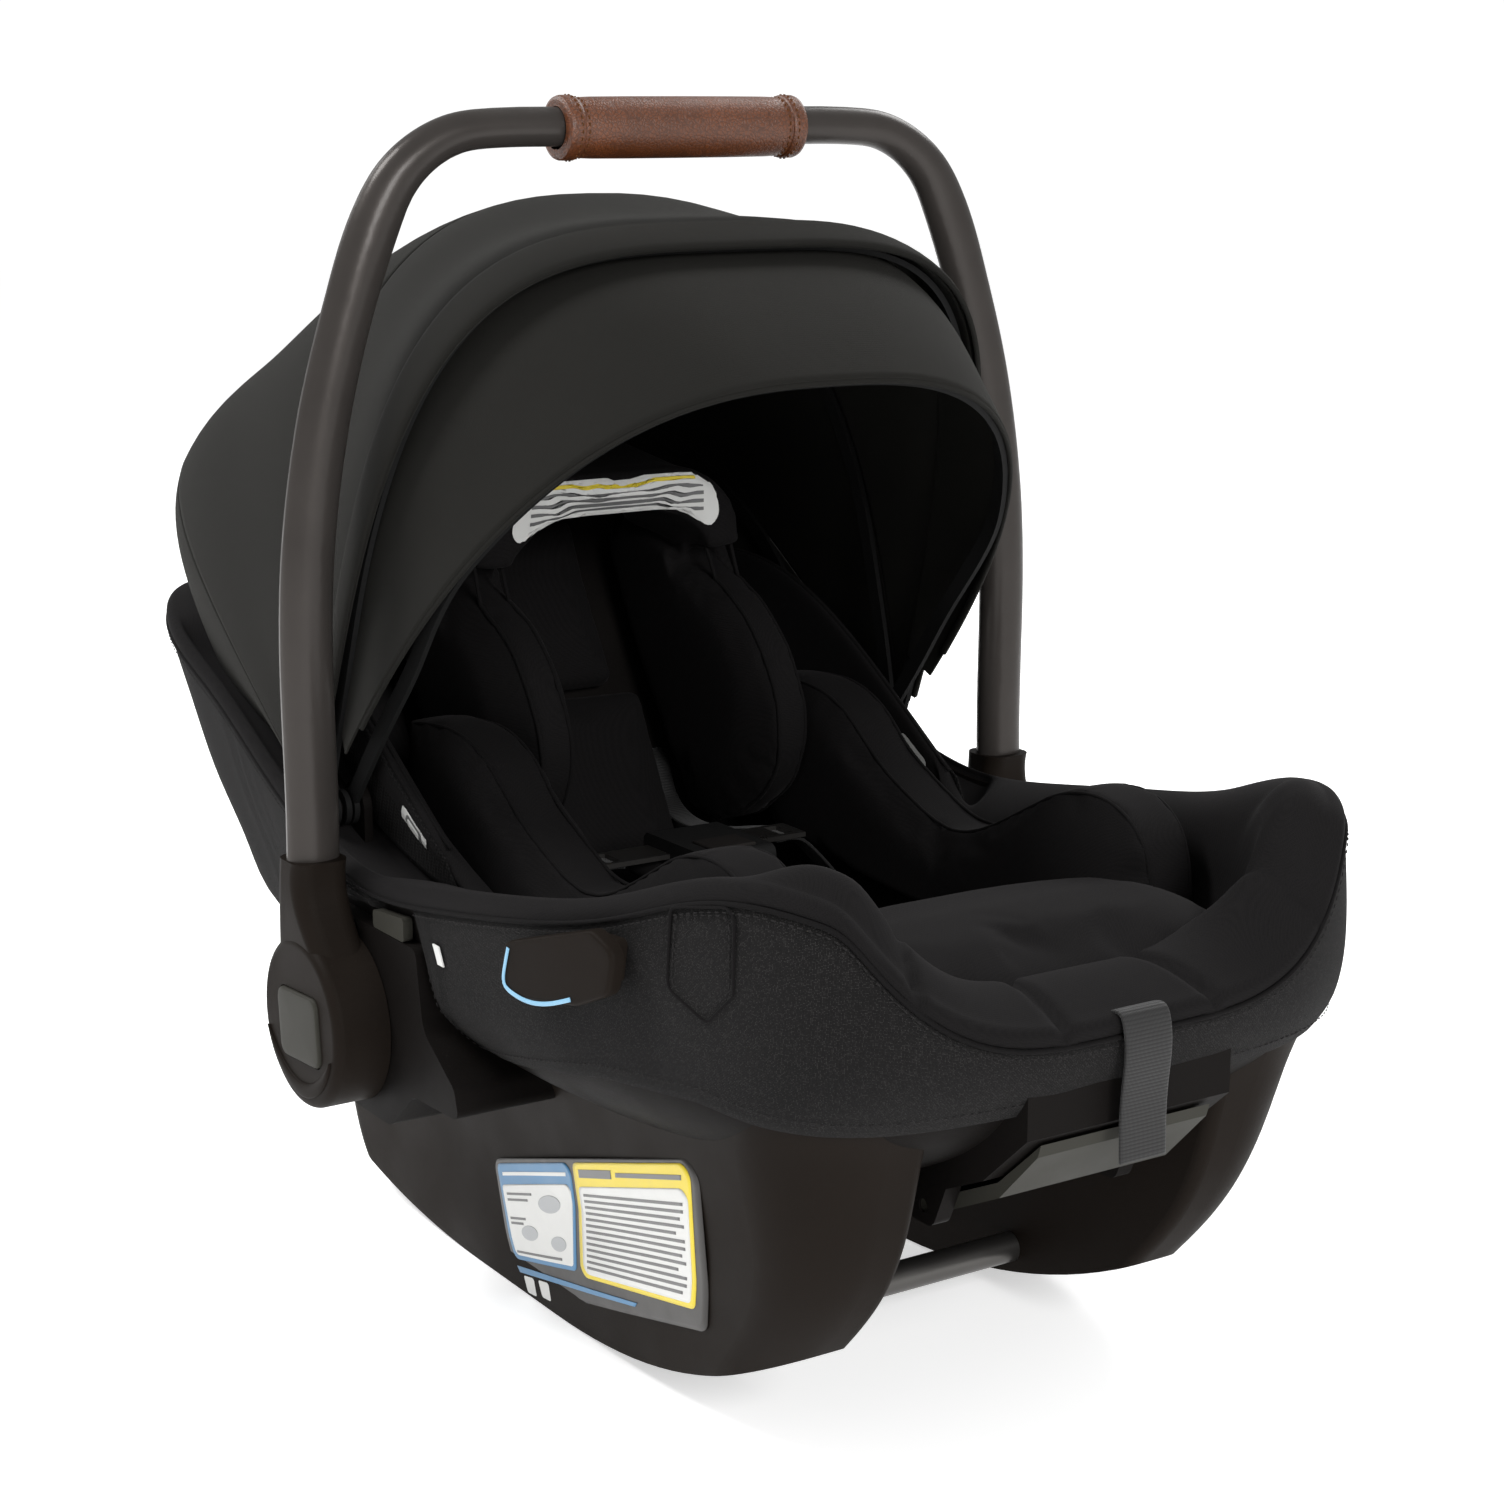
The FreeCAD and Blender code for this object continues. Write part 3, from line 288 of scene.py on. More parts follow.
def stitches(name, path, normal, length=2.4, gap=1.3, radius=0.32):
    """A row of thread stitches: short closed lozenges spaced along a path and lifted half their
    thickness off the cloth."""
    p, nrm = np.asarray(path, float), np.broadcast_to(np.asarray(normal, float), np.shape(path))
    s = np.concatenate([[0], np.cumsum(np.linalg.norm(np.diff(p, axis=0), axis=1))])
    n = max(1, int(s[-1] // (length + gap)))
    start = (np.arange(n) + 0.5) * s[-1] / n - length / 2
    ring = np.array([0.0, 0.22, 0.78, 1.0])
    size = np.array([0.05, 1.0, 1.0, 0.05]) * radius
    at = start[:, None] + ring * length
    pos = np.stack([np.interp(at, s, p[:, c]) for c in range(3)], -1)
    up = np.stack([np.interp(at, s, nrm[:, c]) for c in range(3)], -1)
    up /= np.linalg.norm(up, axis=2)[..., None]
    t = (pos[:, -1] - pos[:, 0])[:, None]
    t = t / np.linalg.norm(t, axis=2)[..., None]
    across = np.cross(t, up)
    a = np.linspace(0, 2 * math.pi, 5, endpoint=False)
    lift = np.array([-0.3, 0.55, 0.55, -0.3]) * radius
    centre = pos + up * lift[None, :, None]
    pts = centre[:, :, None] + size[None, :, None, None] * (
        across[:, :, None] * np.cos(a)[:, None] + up[:, :, None] * np.sin(a)[:, None])
    base = (np.arange(n) * 20)[:, None, None, None]
    i, j = np.meshgrid(np.arange(3), np.arange(5), indexing="ij")
    quad = np.stack([i * 5 + j, i * 5 + (j + 1) % 5, (i + 1) * 5 + (j + 1) % 5, (i + 1) * 5 + j], -1)
    faces = (base + quad[None]).reshape(-1, 4)
    mesh = bpy.data.meshes.new(name)
    mesh.from_pydata((pts.reshape(-1, 3) * MM).tolist(), [], faces.tolist())
    mesh.polygons.foreach_set("use_smooth", np.ones(len(mesh.polygons), bool))
    obj = bpy.data.objects.new(name, mesh)
    bpy.context.scene.collection.objects.link(obj)
    return obj


def finish_piece(obj, body, material, replaces=(), solid=0.0, subdivide=0):
    """Gives a piece its material and thickness, ties it to its body and hides the CAD nodes it stands for."""
    if material is not None:
        obj.data.materials.clear()
        obj.data.materials.append(material)
    if solid:
        mod = obj.modifiers.new("Thickness", "SOLIDIFY")
        mod.thickness = solid * MM
        mod.offset = -1
    if subdivide:
        mod = obj.modifiers.new("Smooth", "SUBSURF")
        mod.levels = mod.render_levels = subdivide
    if body:
        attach(obj, body)
    if replaces:
        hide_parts(*replaces)
    return obj


def points_of(obj):
    """The object's mesh points in mm."""
    co = np.empty(len(obj.data.vertices) * 3, np.float32)
    obj.data.vertices.foreach_get("co", co)
    return co.reshape(-1, 3).astype(float) / MM


def set_points(obj, points):
    obj.data.vertices.foreach_set("co", (np.asarray(points) * MM).astype(np.float32).ravel())
    obj.data.update()


def snap(path, target, lift=0.0):
    """Moves each point of a path onto the nearest place of a mesh, lifted along its normal. Gives
    points and normals."""
    deps = bpy.context.evaluated_depsgraph_get()
    tree = BVHTree.FromObject(target, deps)
    hits = [tree.find_nearest(tuple(q * MM)) for q in np.asarray(path, float)]
    pos = np.array([h[0] for h in hits]) / MM
    nrm = np.array([h[1] for h in hits])
    return pos + nrm * lift, nrm


# ---------------------------------------------------------------- materials
def socket(tree, name, kind, output=False, default=None):
    s = tree.interface.new_socket(name=name, in_out="OUTPUT" if output else "INPUT", socket_type=kind)
    if default is not None:
        s.default_value = default
    return s


class Wiring:
    """Adds nodes to a tree in a few words."""

    def __init__(self, tree):
        self.tree = tree

    def node(self, kind, **settings):
        n = self.tree.nodes.new(kind)
        for k, v in settings.items():
            setattr(n, k, v)
        return n

    def put(self, value, target):
        if isinstance(value, bpy.types.NodeSocket):
            self.tree.links.new(value, target)
        elif hasattr(value, "__len__") and len(value) == 3 and target.type == "RGBA":
            target.default_value = (*value, 1.0)
        else:
            target.default_value = value

    def math(self, operation, a, b=0.0, clamp=False):
        n = self.node("ShaderNodeMath", operation=operation, use_clamp=clamp)
        self.put(a, n.inputs[0])
        self.put(b, n.inputs[1])
        return n.outputs[0]

    def noise(self, vector, scale, detail=3.0, rough=0.55):
        n = self.node("ShaderNodeTexNoise")
        self.put(vector, n.inputs["Vector"])
        self.put(scale, n.inputs["Scale"])
        self.put(detail, n.inputs["Detail"])
        self.put(rough, n.inputs["Roughness"])
        return n.outputs["Fac"]

    def ramp(self, value, low, high, to_low=0.0, to_high=1.0):
        n = self.node("ShaderNodeMapRange")
        for k, v in zip((0, 1, 2, 3, 4), (value, low, high, to_low, to_high)):
            self.put(v, n.inputs[k])
        return n.outputs[0]

    def mix(self, factor, a, b):
        n = self.node("ShaderNodeMix", data_type="RGBA")
        self.put(factor, n.inputs[0])
        self.put(a, n.inputs[6])
        self.put(b, n.inputs[7])
        return n.outputs[2]

    def separate(self, vector):
        n = self.node("ShaderNodeSeparateXYZ")
        self.put(vector, n.inputs[0])
        return n.outputs

    def combine(self, x, y, z=0.0):
        n = self.node("ShaderNodeCombineXYZ")
        for value, target in zip((x, y, z), n.inputs):
            self.put(value, target)
        return n.outputs[0]


def group(name, inputs, outputs, fill):
    """A shader node group, built once and shared."""
    if name in bpy.data.node_groups:
        return bpy.data.node_groups[name]
    tree = bpy.data.node_groups.new(name, "ShaderNodeTree")
    for n, kind, default in inputs:
        socket(tree, n, kind, default=default)
    for n, kind in outputs:
        socket(tree, n, kind, output=True)
    w = Wiring(tree)
    fill(w, tree.nodes.new("NodeGroupInput").outputs, tree.nodes.new("NodeGroupOutput").inputs)
    return tree


def weave_group():
    """Plain or twill weave. Threads run along U and V; the thread on top swaps in a checker that twill
    shifts row by row.
    A thread is a half sine across its width and dips at its ends. Height is the top thread, and Fleck picks
    single pale threads."""
    def fill(w, g, out):
        x, y, _ = w.separate(g["Vector"])
        u = w.math("DIVIDE", x, g["Thread"])
        v = w.math("DIVIDE", y, g["Thread"])
        shift = w.math("MULTIPLY", w.math("FLOOR", v), g["Twill"])
        parity = w.math("FLOORED_MODULO", w.math("FLOOR", w.math("ADD", u, shift)), 2.0)
        half_u, half_v = (w.math("ABSOLUTE", w.math("SINE", w.math("MULTIPLY", c, math.pi))) for c in (u, v))
        dip_u, dip_v = (w.math("ADD", 0.55, w.math("MULTIPLY", 0.45, c)) for c in (half_u, half_v))
        warp = w.math("MULTIPLY", half_u, dip_v)
        weft = w.math("MULTIPLY", half_v, dip_u)
        height = w.math("ADD", w.math("MULTIPLY", warp, parity),
                        w.math("MULTIPLY", weft, w.math("SUBTRACT", 1.0, parity)))
        cell = w.combine(w.math("FLOOR", u), w.math("FLOOR", v))
        white = w.node("ShaderNodeTexWhiteNoise", noise_dimensions="3D")
        w.put(cell, white.inputs["Vector"])
        w.put(height, out["Height"])
        w.put(w.math("MULTIPLY", white.outputs["Value"], height), out["Fleck"])
    return group("Woven Cloth", [("Vector", "NodeSocketVector", None), ("Thread", "NodeSocketFloat", 1.0),
                                 ("Twill", "NodeSocketFloat", 0.0)],
                 [("Height", "NodeSocketFloat"), ("Fleck", "NodeSocketFloat")], fill)


def grain_group():
    """Moulded or leather grain: cells of a Voronoi pattern softened by noise. Height is the grain,
    Shade a slow mottle."""
    def fill(w, g, out):
        warp = w.node("ShaderNodeVectorMath", operation="ADD")
        w.put(g["Vector"], warp.inputs[0])
        n = w.node("ShaderNodeTexNoise")
        w.put(g["Vector"], n.inputs["Vector"])
        w.put(w.math("MULTIPLY", g["Scale"], 0.5), n.inputs["Scale"])
        small = w.node("ShaderNodeVectorMath", operation="SCALE")
        w.put(n.outputs["Color"], small.inputs[0])
        w.put(w.math("DIVIDE", 0.6, g["Scale"]), small.inputs["Scale"])
        w.put(small.outputs[0], warp.inputs[1])
        cells = w.node("ShaderNodeTexVoronoi", feature="DISTANCE_TO_EDGE")
        w.put(warp.outputs[0], cells.inputs["Vector"])
        w.put(g["Scale"], cells.inputs["Scale"])
        w.put(w.ramp(cells.outputs["Distance"], 0.0, 0.25), out["Height"])
        w.put(w.noise(g["Vector"], 22.0, 4.0), out["Shade"])
    return group("Grain", [("Vector", "NodeSocketVector", None), ("Scale", "NodeSocketFloat", 1500.0)],
                 [("Height", "NodeSocketFloat"), ("Shade", "NodeSocketFloat")], fill)


def dust_group():
    """Light dust and wear: fine specks where a surface faces up, broken by slow noise."""
    def fill(w, g, out):
        geo = w.node("ShaderNodeNewGeometry")
        _, _, nz = w.separate(geo.outputs["Normal"])
        up = w.ramp(nz, 0.1, 1.0)
        patch = w.ramp(w.noise(g["Vector"], 9.0, 5.0), 0.45, 0.75)
        speck = w.ramp(w.noise(g["Vector"], 900.0, 2.0), 0.62, 0.8)
        spots = w.math("ADD", w.math("MULTIPLY", patch, 0.6), speck)
        w.put(w.math("MULTIPLY", w.math("MULTIPLY", up, g["Amount"]), spots), out["Dust"])
    return group("Dust", [("Vector", "NodeSocketVector", None), ("Amount", "NodeSocketFloat", 0.1)],
                 [("Dust", "NodeSocketFloat")], fill)


def start_material(name):
    """An empty material with its Principled shader. Gives the material, its wiring and the shader's
    inputs."""
    m = bpy.data.materials.new(name)
    m.use_nodes = True
    m.node_tree.nodes.clear()
    w = Wiring(m.node_tree)
    out = w.node("ShaderNodeOutputMaterial")
    shader = w.node("ShaderNodeBsdfPrincipled")
    m.node_tree.links.new(shader.outputs[0], out.inputs[0])
    return m, w, shader.inputs


def place_group(w, tree, **values):
    n = w.node("ShaderNodeGroup", node_tree=tree)
    for k, v in values.items():
        w.put(v, n.inputs[k])
    return n.outputs


def bump(w, height, shader, distance, strength=1.0):
    n = w.node("ShaderNodeBump")
    w.put(height, n.inputs["Height"])
    w.put(distance * MM, n.inputs["Distance"])
    w.put(strength, n.inputs["Strength"])
    w.put(n.outputs[0], shader["Normal"])


def shade(colour, share):
    """The colour with each part times share."""
    return tuple(c * share for c in colour)


def moulded(name, colour, rough=0.42, grain=1400.0, depth=0.03, metal=0.0, dust=0.05, coat=0.0):
    """Moulded plastic or painted metal: fine grain, slow colour mottle and a trace of dust on upward
    faces."""
    if name in bpy.data.materials:
        return bpy.data.materials[name]
    m, w, s = start_material(name)
    at = w.node("ShaderNodeTexCoord").outputs["Object"]
    g = place_group(w, grain_group(), Vector=at, Scale=grain)
    d = place_group(w, dust_group(), Vector=at, Amount=dust)
    mottle = w.mix(g["Shade"], shade(colour, 0.82), shade(colour, 1.16))
    w.put(w.mix(d["Dust"], mottle, (0.16, 0.15, 0.135)), s["Base Color"])
    w.put(w.ramp(g["Shade"], 0.3, 0.7, rough - 0.05, rough + 0.07), s["Roughness"])
    s["Metallic"].default_value = metal
    s["Specular IOR Level"].default_value = 0.03
    s["Coat Weight"].default_value = coat
    s["Coat Roughness"].default_value = 0.2
    bump(w, g["Height"], s, depth, 0.6)
    return m


def woven(name, colour, fleck, thread=0.5, twill=0.0, rough=0.85, depth=0.12, sheen=0.12, fleck_from=0.72):
    """Woven cloth whose threads follow the piece's own UV map, with single paler threads, painted shade in the
    dips between threads and a soft sheen.
    """
    if name in bpy.data.materials:
        return bpy.data.materials[name]
    m, w, s = start_material(name)
    uv = w.node("ShaderNodeTexCoord").outputs["UV"]
    at = w.node("ShaderNodeTexCoord").outputs["Object"]
    g = place_group(w, weave_group(), Vector=uv, Thread=thread, Twill=twill)
    base = w.mix(w.noise(at, 14.0, 3.0), shade(colour, 0.85), shade(colour, 1.15))
    # painted shade: the colour falls to 0.35 of itself where the weave dips between threads
    thread_gap_painted_shade = w.mix(w.ramp(g["Height"], 0.0, 0.8), shade(colour, 0.35), base)
    w.put(w.mix(w.ramp(g["Fleck"], fleck_from, 1.0), thread_gap_painted_shade, fleck), s["Base Color"])
    w.put(w.ramp(g["Height"], 0.0, 1.0, rough + 0.08, rough - 0.05), s["Roughness"])
    s["Specular IOR Level"].default_value = 0.14
    s["Sheen Weight"].default_value = sheen
    s["Sheen Roughness"].default_value = 0.45
    s["Sheen Tint"].default_value = (*[min(1.0, c * 8 + 0.04) for c in colour], 1)
    bump(w, g["Height"], s, depth)
    return m


def knitted(name, colour, rough=0.9, loop=0.9, depth=0.10, sheen=0.14, mesh=0.0):
    """Jersey knit: loops as sines of the object's coordinates turned so that they line up on no face,
    softened by noise.
    With mesh above 0 the loops open into the small holes of a spacer mesh. Between the loops the colour is
    darkened as painted shade, more deeply in the mesh's holes."""
    if name in bpy.data.materials:
        return bpy.data.materials[name]
    m, w, s = start_material(name)
    at = w.node("ShaderNodeTexCoord").outputs["Object"]
    turn = w.node("ShaderNodeMapping")
    turn.inputs["Rotation"].default_value = (0.5, 0.35, 0.6)
    w.put(at, turn.inputs["Vector"])
    x, y, z = w.separate(turn.outputs[0])
    k = 2 * math.pi / (loop * MM)
    waves = [w.math("SINE", w.math("MULTIPLY", c, k)) for c in (x, y, z)]
    pairs = [w.math("MULTIPLY", waves[k], waves[(k + 1) % 3]) for k in range(3)]
    cell = w.math("ADD", w.math("ADD", pairs[0], pairs[1]), pairs[2])
    loops = w.ramp(cell, -1.2, 1.2)
    fuzz = w.noise(at, 700.0, 2.0)
    height = w.math("ADD", w.math("MULTIPLY", loops, 0.7), w.math("MULTIPLY", fuzz, 0.3))
    slow = w.mix(w.noise(at, 11.0, 3.0), shade(colour, 0.85), shade(colour, 1.18))
    # painted shade: the colour darkens between the loops, and more in the holes of a spacer mesh
    loop_gap_painted_shade = tuple(c * (0.5 - 0.3 * mesh) for c in colour)
    w.put(w.mix(w.ramp(height, 0.15 + 0.25 * mesh, 0.6 + 0.1 * mesh), loop_gap_painted_shade, slow), s["Base Color"])
    s["Roughness"].default_value = rough
    s["Specular IOR Level"].default_value = 0.10
    s["Sheen Weight"].default_value = sheen
    s["Sheen Roughness"].default_value = 0.4
    s["Sheen Tint"].default_value = (*[min(1.0, c * 8 + 0.04) for c in colour], 1)
    bump(w, height, s, depth * (1 + mesh))
    return m


def webbing_material(name, colour, rib=1.6):
    """Ribbed webbing: ribs across the run of the strap and a finer warp along it."""
    if name in bpy.data.materials:
        return bpy.data.materials[name]
    m, w, s = start_material(name)
    uv = w.node("ShaderNodeTexCoord").outputs["UV"]
    at = w.node("ShaderNodeTexCoord").outputs["Object"]
    x, y, _ = w.separate(uv)
    ribs = w.math("ABSOLUTE", w.math("SINE", w.math("MULTIPLY", x, math.pi / rib)))
    warp = w.math("ABSOLUTE", w.math("SINE", w.math("MULTIPLY", y, math.pi / 0.7)))
    height = w.math("ADD", w.math("MULTIPLY", ribs, 0.65), w.math("MULTIPLY", warp, 0.35))
    tone = w.mix(w.noise(at, 30.0, 3.0), shade(colour, 0.8), shade(colour, 1.25))
    # painted shade: the colour falls to 0.4 of itself in the grooves between the ribs
    w.put(w.mix(w.ramp(height, 0.2, 0.9), shade(colour, 0.4), tone), s["Base Color"])
    s["Roughness"].default_value = 0.55
    s["Specular IOR Level"].default_value = 0.25
    s["Sheen Weight"].default_value = 0.1
    bump(w, height, s, 0.22)
    return m


def leather_material(name, colour):
    """Grained leather: pebbled cells, creases and a darker mottle with a dull coat, and painted shade in the
    grooves between the cells.
    """
    if name in bpy.data.materials:
        return bpy.data.materials[name]
    m, w, s = start_material(name)
    at = w.node("ShaderNodeTexCoord").outputs["Object"]
    g = place_group(w, grain_group(), Vector=at, Scale=520.0)
    fine = place_group(w, grain_group(), Vector=at, Scale=1300.0)
    crease = w.ramp(w.noise(at, 60.0, 6.0, 0.7), 0.35, 0.6)
    height = w.math("ADD", w.math("MULTIPLY", g["Height"], 0.65),
                    w.math("ADD", w.math("MULTIPLY", fine["Height"], 0.2), w.math("MULTIPLY", crease, 0.25)))
    tone = w.mix(w.ramp(w.noise(at, 35.0, 5.0), 0.3, 0.7), shade(colour, 0.72), shade(colour, 1.22))
    # painted shade: the colour falls to half in the grooves at the edges of the grain cells
    w.put(w.mix(w.ramp(g["Height"], 0.0, 0.7), shade(colour, 0.5), tone), s["Base Color"])
    w.put(w.ramp(crease, 0.0, 1.0, 0.5, 0.4), s["Roughness"])
    s["Coat Weight"].default_value = 0.12
    s["Coat Roughness"].default_value = 0.35
    bump(w, height, s, 0.18)
    return m


def printed(name, colour, rough=0.35):
    """Printed film: flat ink with faint mottle and a smooth, slightly uneven face."""
    if name in bpy.data.materials:
        return bpy.data.materials[name]
    m, w, s = start_material(name)
    at = w.node("ShaderNodeTexCoord").outputs["Object"]
    pale = tuple(min(1, c * 1.03) for c in colour)
    w.put(w.mix(w.noise(at, 120.0, 2.0), shade(colour, 0.94), pale), s["Base Color"])
    w.put(w.ramp(w.noise(at, 60.0, 3.0), 0.3, 0.7, rough - 0.04, rough + 0.06), s["Roughness"])
    bump(w, w.noise(at, 500.0, 2.0), s, 0.01, 0.5)
    return m


# ---------------------------------------------------------------- settings
class CarrierSizes(bpy.types.PropertyGroup):
    """Sizes of the soft finish, in millimetres unless the name says otherwise."""
    rim_roll: FloatProperty(name="Rim roll", description="Radius of the roll over the rim", default=6.0)
    seam_drop: FloatProperty(name="Rim seam drop", description="Outer seam below the rim's top", default=9.0)
    hem_turn: FloatProperty(name="Hem turn", description="Cloth turned up inside the lower hem", default=9.0)
    canopy_cloth: FloatProperty(name="Canopy cloth", description="Thickness of its cloth", default=1.2)
    stitch: FloatProperty(name="Stitch", description="Length of one stitch", default=2.6)
    pressure: FloatProperty(name="Fill pressure", description="Pressure inside the padding", default=8.0)
    frames: IntProperty(name="Fill frames", description="Steps of the padding simulation", default=20)
    round_side: IntProperty(name="Points round the rim", description="Columns of rim and liner", default=560)


def colour_property(name, text, value):
    return FloatVectorProperty(name=name, description=text, default=value, subtype="COLOR", size=3, min=0, max=1)


class CarrierColours(bpy.types.PropertyGroup):
    """Colours of each finish."""
    canopy: colour_property("Canopy", "Canopy cloth", (0.0120, 0.0115, 0.0099))
    weave: colour_property("Rim weave", "Coarse cloth round the bucket", (0.0075, 0.0070, 0.0070))
    knit: colour_property("Knit", "Jersey on the padding", (0.0080, 0.0073, 0.0075))
    mesh: colour_property("Mesh", "Spacer mesh on the body wings", (0.0120, 0.0114, 0.0114))
    shell: colour_property("Bucket plastic", "Bucket, brackets and mounts", (0.0065, 0.0056, 0.0052))
    skirt: colour_property("Skirt plastic", "Skirts, hubs and belt guides", (0.0105, 0.0080, 0.0064))
    button: colour_property("Button plastic", "Buttons and tabs", (0.034, 0.033, 0.028))
    tube: colour_property("Tube paint", "Satin paint of the handle tube", (0.045, 0.040, 0.037))
    leather: colour_property("Leather", "Grip leather", (0.105, 0.028, 0.0055))
    webbing: colour_property("Webbing", "Harness and adjuster webbing", (0.015, 0.0145, 0.0145))
    press_button: colour_property("Press button", "Harness press buttons", (0.020, 0.018, 0.017))


# ---------------------------------------------------------------- finishes that several operators share
def bucket_plastic(col):
    return moulded("Bucket plastic", tuple(col.shell), rough=0.5, depth=0.05)


def skirt_plastic(col):
    return moulded("Skirt plastic", tuple(col.skirt), rough=0.50, depth=0.04)


def button_plastic(col):
    return moulded("Button plastic", tuple(col.button), rough=0.38, depth=0.02)


def jersey(col):
    return knitted("Jersey", tuple(col.knit))


def piping_cord(col):
    return knitted("Piping", shade(col.knit, 0.8), loop=0.7)


def seam_thread():
    return knitted("Thread", (0.02, 0.019, 0.019), loop=0.5, depth=0.05)


def label_film():
    return printed("Label film", (0.020, 0.017, 0.015), 0.4)


# ---------------------------------------------------------------- bucket shapes
def plan_curve(u):
    """Share of half width and of length at u, 0 to 1 anticlockwise from the middle of the foot end: a
    closed smooth curve."""
    right = PLAN
    left = PLAN[-2:0:-1] * (-1, 1)
    p = np.concatenate([right, left, right[:1]])
    s = np.concatenate([[0], np.cumsum(np.linalg.norm(np.diff(p * (186, 660), axis=0), axis=1))])
    return cubic(s / s[-1], p, u, closed=True)


def bowl(levels, u, z, grow):
    """Point of a bowl at place u and height z, grown sideways: foot end, head end and half width are
    smooth in z."""
    row = cubic(levels[:, 0], levels[:, 1:], z)
    ft = plan_curve(np.asarray(u) % 1.0)
    y = row[..., 0] - grow + (row[..., 1] - row[..., 0] + 2 * grow) * ft[..., 1]
    return np.stack([(row[..., 2] + grow) * ft[..., 0], y, z], -1)


def level_curve(points, y):
    """Height of a smooth line given by its (y, z) points, read at y."""
    fine = along(points, 600)
    return np.interp(y, fine[:, 0], fine[:, 1])


def saddle_height(x):
    """Height of the rim across the foot end: flat in the middle, rising with the fourth power of the
    distance from it."""
    return 213.0 + 60.0 * (np.abs(x) / 131.0) ** 4


def rim_height(u):
    """Height of the rim's top at u: the side line, held down by the saddle at the foot end."""
    z = np.full(np.shape(u), 290.0)
    for _ in range(6):
        p = bowl(SHELL_LEVELS, u, z, -2.0)
        z = level_curve(RIM_TOP, p[..., 1])
        saddle = saddle_height(p[..., 0])
        z = np.where((p[..., 1] < -270) & (np.abs(p[..., 0]) < 134), np.minimum(z, saddle), z)
    kernel = np.hanning(9) / np.hanning(9).sum()
    return np.convolve(np.concatenate([z[-8:], z, z[:8]]), kernel, "same")[8:-8]


def rim_grid(n):
    """Columns u, rim height and hem height round the bucket."""
    u = np.arange(n) / n
    top = rim_height(u)
    low = np.full(n, 160.0)
    for _ in range(4):
        low = np.interp(bowl(SHELL_LEVELS, u, low, COVER_T)[:, 1], HEM[:, 0], HEM[:, 1])
    kernel = np.hanning(7) / np.hanning(7).sum()
    low = np.convolve(np.concatenate([low[-6:], low, low[:6]]), kernel, "same")[6:-6]
    return u, top, low


def behind_tab(u, z):
    """1 where the cloth is pulled flat against the bucket behind a release tab, 0 elsewhere, with a
    smooth step between."""
    share = np.clip((TAB_HALF - np.abs(bowl(SHELL_LEVELS, u, z, 0.0)[:, 1] - TAB_Y)) / TAB_STEP, 0, 1)
    return share * share * (3 - 2 * share)


class CARRIER_OT_rim(bpy.types.Operator):
    """Woven skirt round the bucket, from its turned hem to the seam under the rim, and its stitches"""
    bl_idname = "carrier.rim"
    bl_label = "Rim Skirt"

    def execute(self, context):
        sizes, col = context.scene.carrier_sizes, context.scene.carrier_colours
        n = sizes.round_side
        u, top, low = rim_grid(n)
        seam = top - sizes.seam_drop
        # rows: inside of the hem, its fold, then up the outside to the seam
        inner = np.linspace(1, 0, 4)[None] * sizes.hem_turn
        rise = np.linspace(0, 1, 26)[None]
        hem, height = low[:, None], (seam - low)[:, None]
        z = np.concatenate([hem + inner, hem - 0.8 + 0 * inner[:, :1], hem + height * rise], 1)
        grow = np.concatenate([np.full((1, 4), 1.2), [[2.6]], 4.0 + 0 * rise], 1) + 0 * z
        uu = u[:, None] + 0 * z
        share = np.clip((z - hem) / height, 0, 1)
        # soft drape: slow folds that fade out towards the seam, and a slight fullness in the middle
        fold = np.sin(uu * 2 * math.pi * 19 + 1.3) * np.sin(uu * 2 * math.pi * 7 + 0.4)
        fold = fold + 0.5 * np.sin(uu * 2 * math.pi * 41 + share * 2.2)
        drape = 0.55 * fold * (1 - share) ** 1.5 * np.clip(share * 6, 0, 1) + 0.9 * np.sin(share * math.pi)
        grow = grow + np.where(grow > 3, drape, 0)
        grow[:, -1] -= 1.0
        tuck = behind_tab(u, np.full(n, 212.0))[:, None]
        grow = grow * (1 - tuck) + 0.2 * tuck
        p = bowl(SHELL_LEVELS, uu, z, grow)
        cloth = woven("Rim weave", tuple(col.weave), (0.042, 0.040, 0.039), thread=0.62, twill=1.0, depth=0.25,
                      fleck_from=0.45)
        skirt = surface("rim_skirt", p, wrap_u=True)
        finish_piece(skirt, "carrier", cloth, ("rim_cover",))
        thread = seam_thread()
        rows = (("rim_stitches_upper", seam - 2.6, 5.0), ("rim_stitches_hem", low + 7.0, 4.9))
        for label, height, off in rows:
            off = off * (1 - tuck[:, 0]) - 2.6 * tuck[:, 0]
            line = bowl(SHELL_LEVELS, u, height, off)
            out = bowl(SHELL_LEVELS, u, height, off + 1) - line
            keep = np.concatenate([line, line[:1]]), np.concatenate([out, out[:1]])
            finish_piece(stitches(label, *keep, length=sizes.stitch), "carrier", thread)
        return {"FINISHED"}


def fin_height(u):
    """Height of the padding's top edge at u, which stands up as a fin beside the canopy's arms."""
    z = np.full(np.shape(u), 300.0)
    for _ in range(3):
        z = level_curve(PAD_TOP, bowl(PAD_LEVELS, u, z, 3.5)[..., 1])
    return z


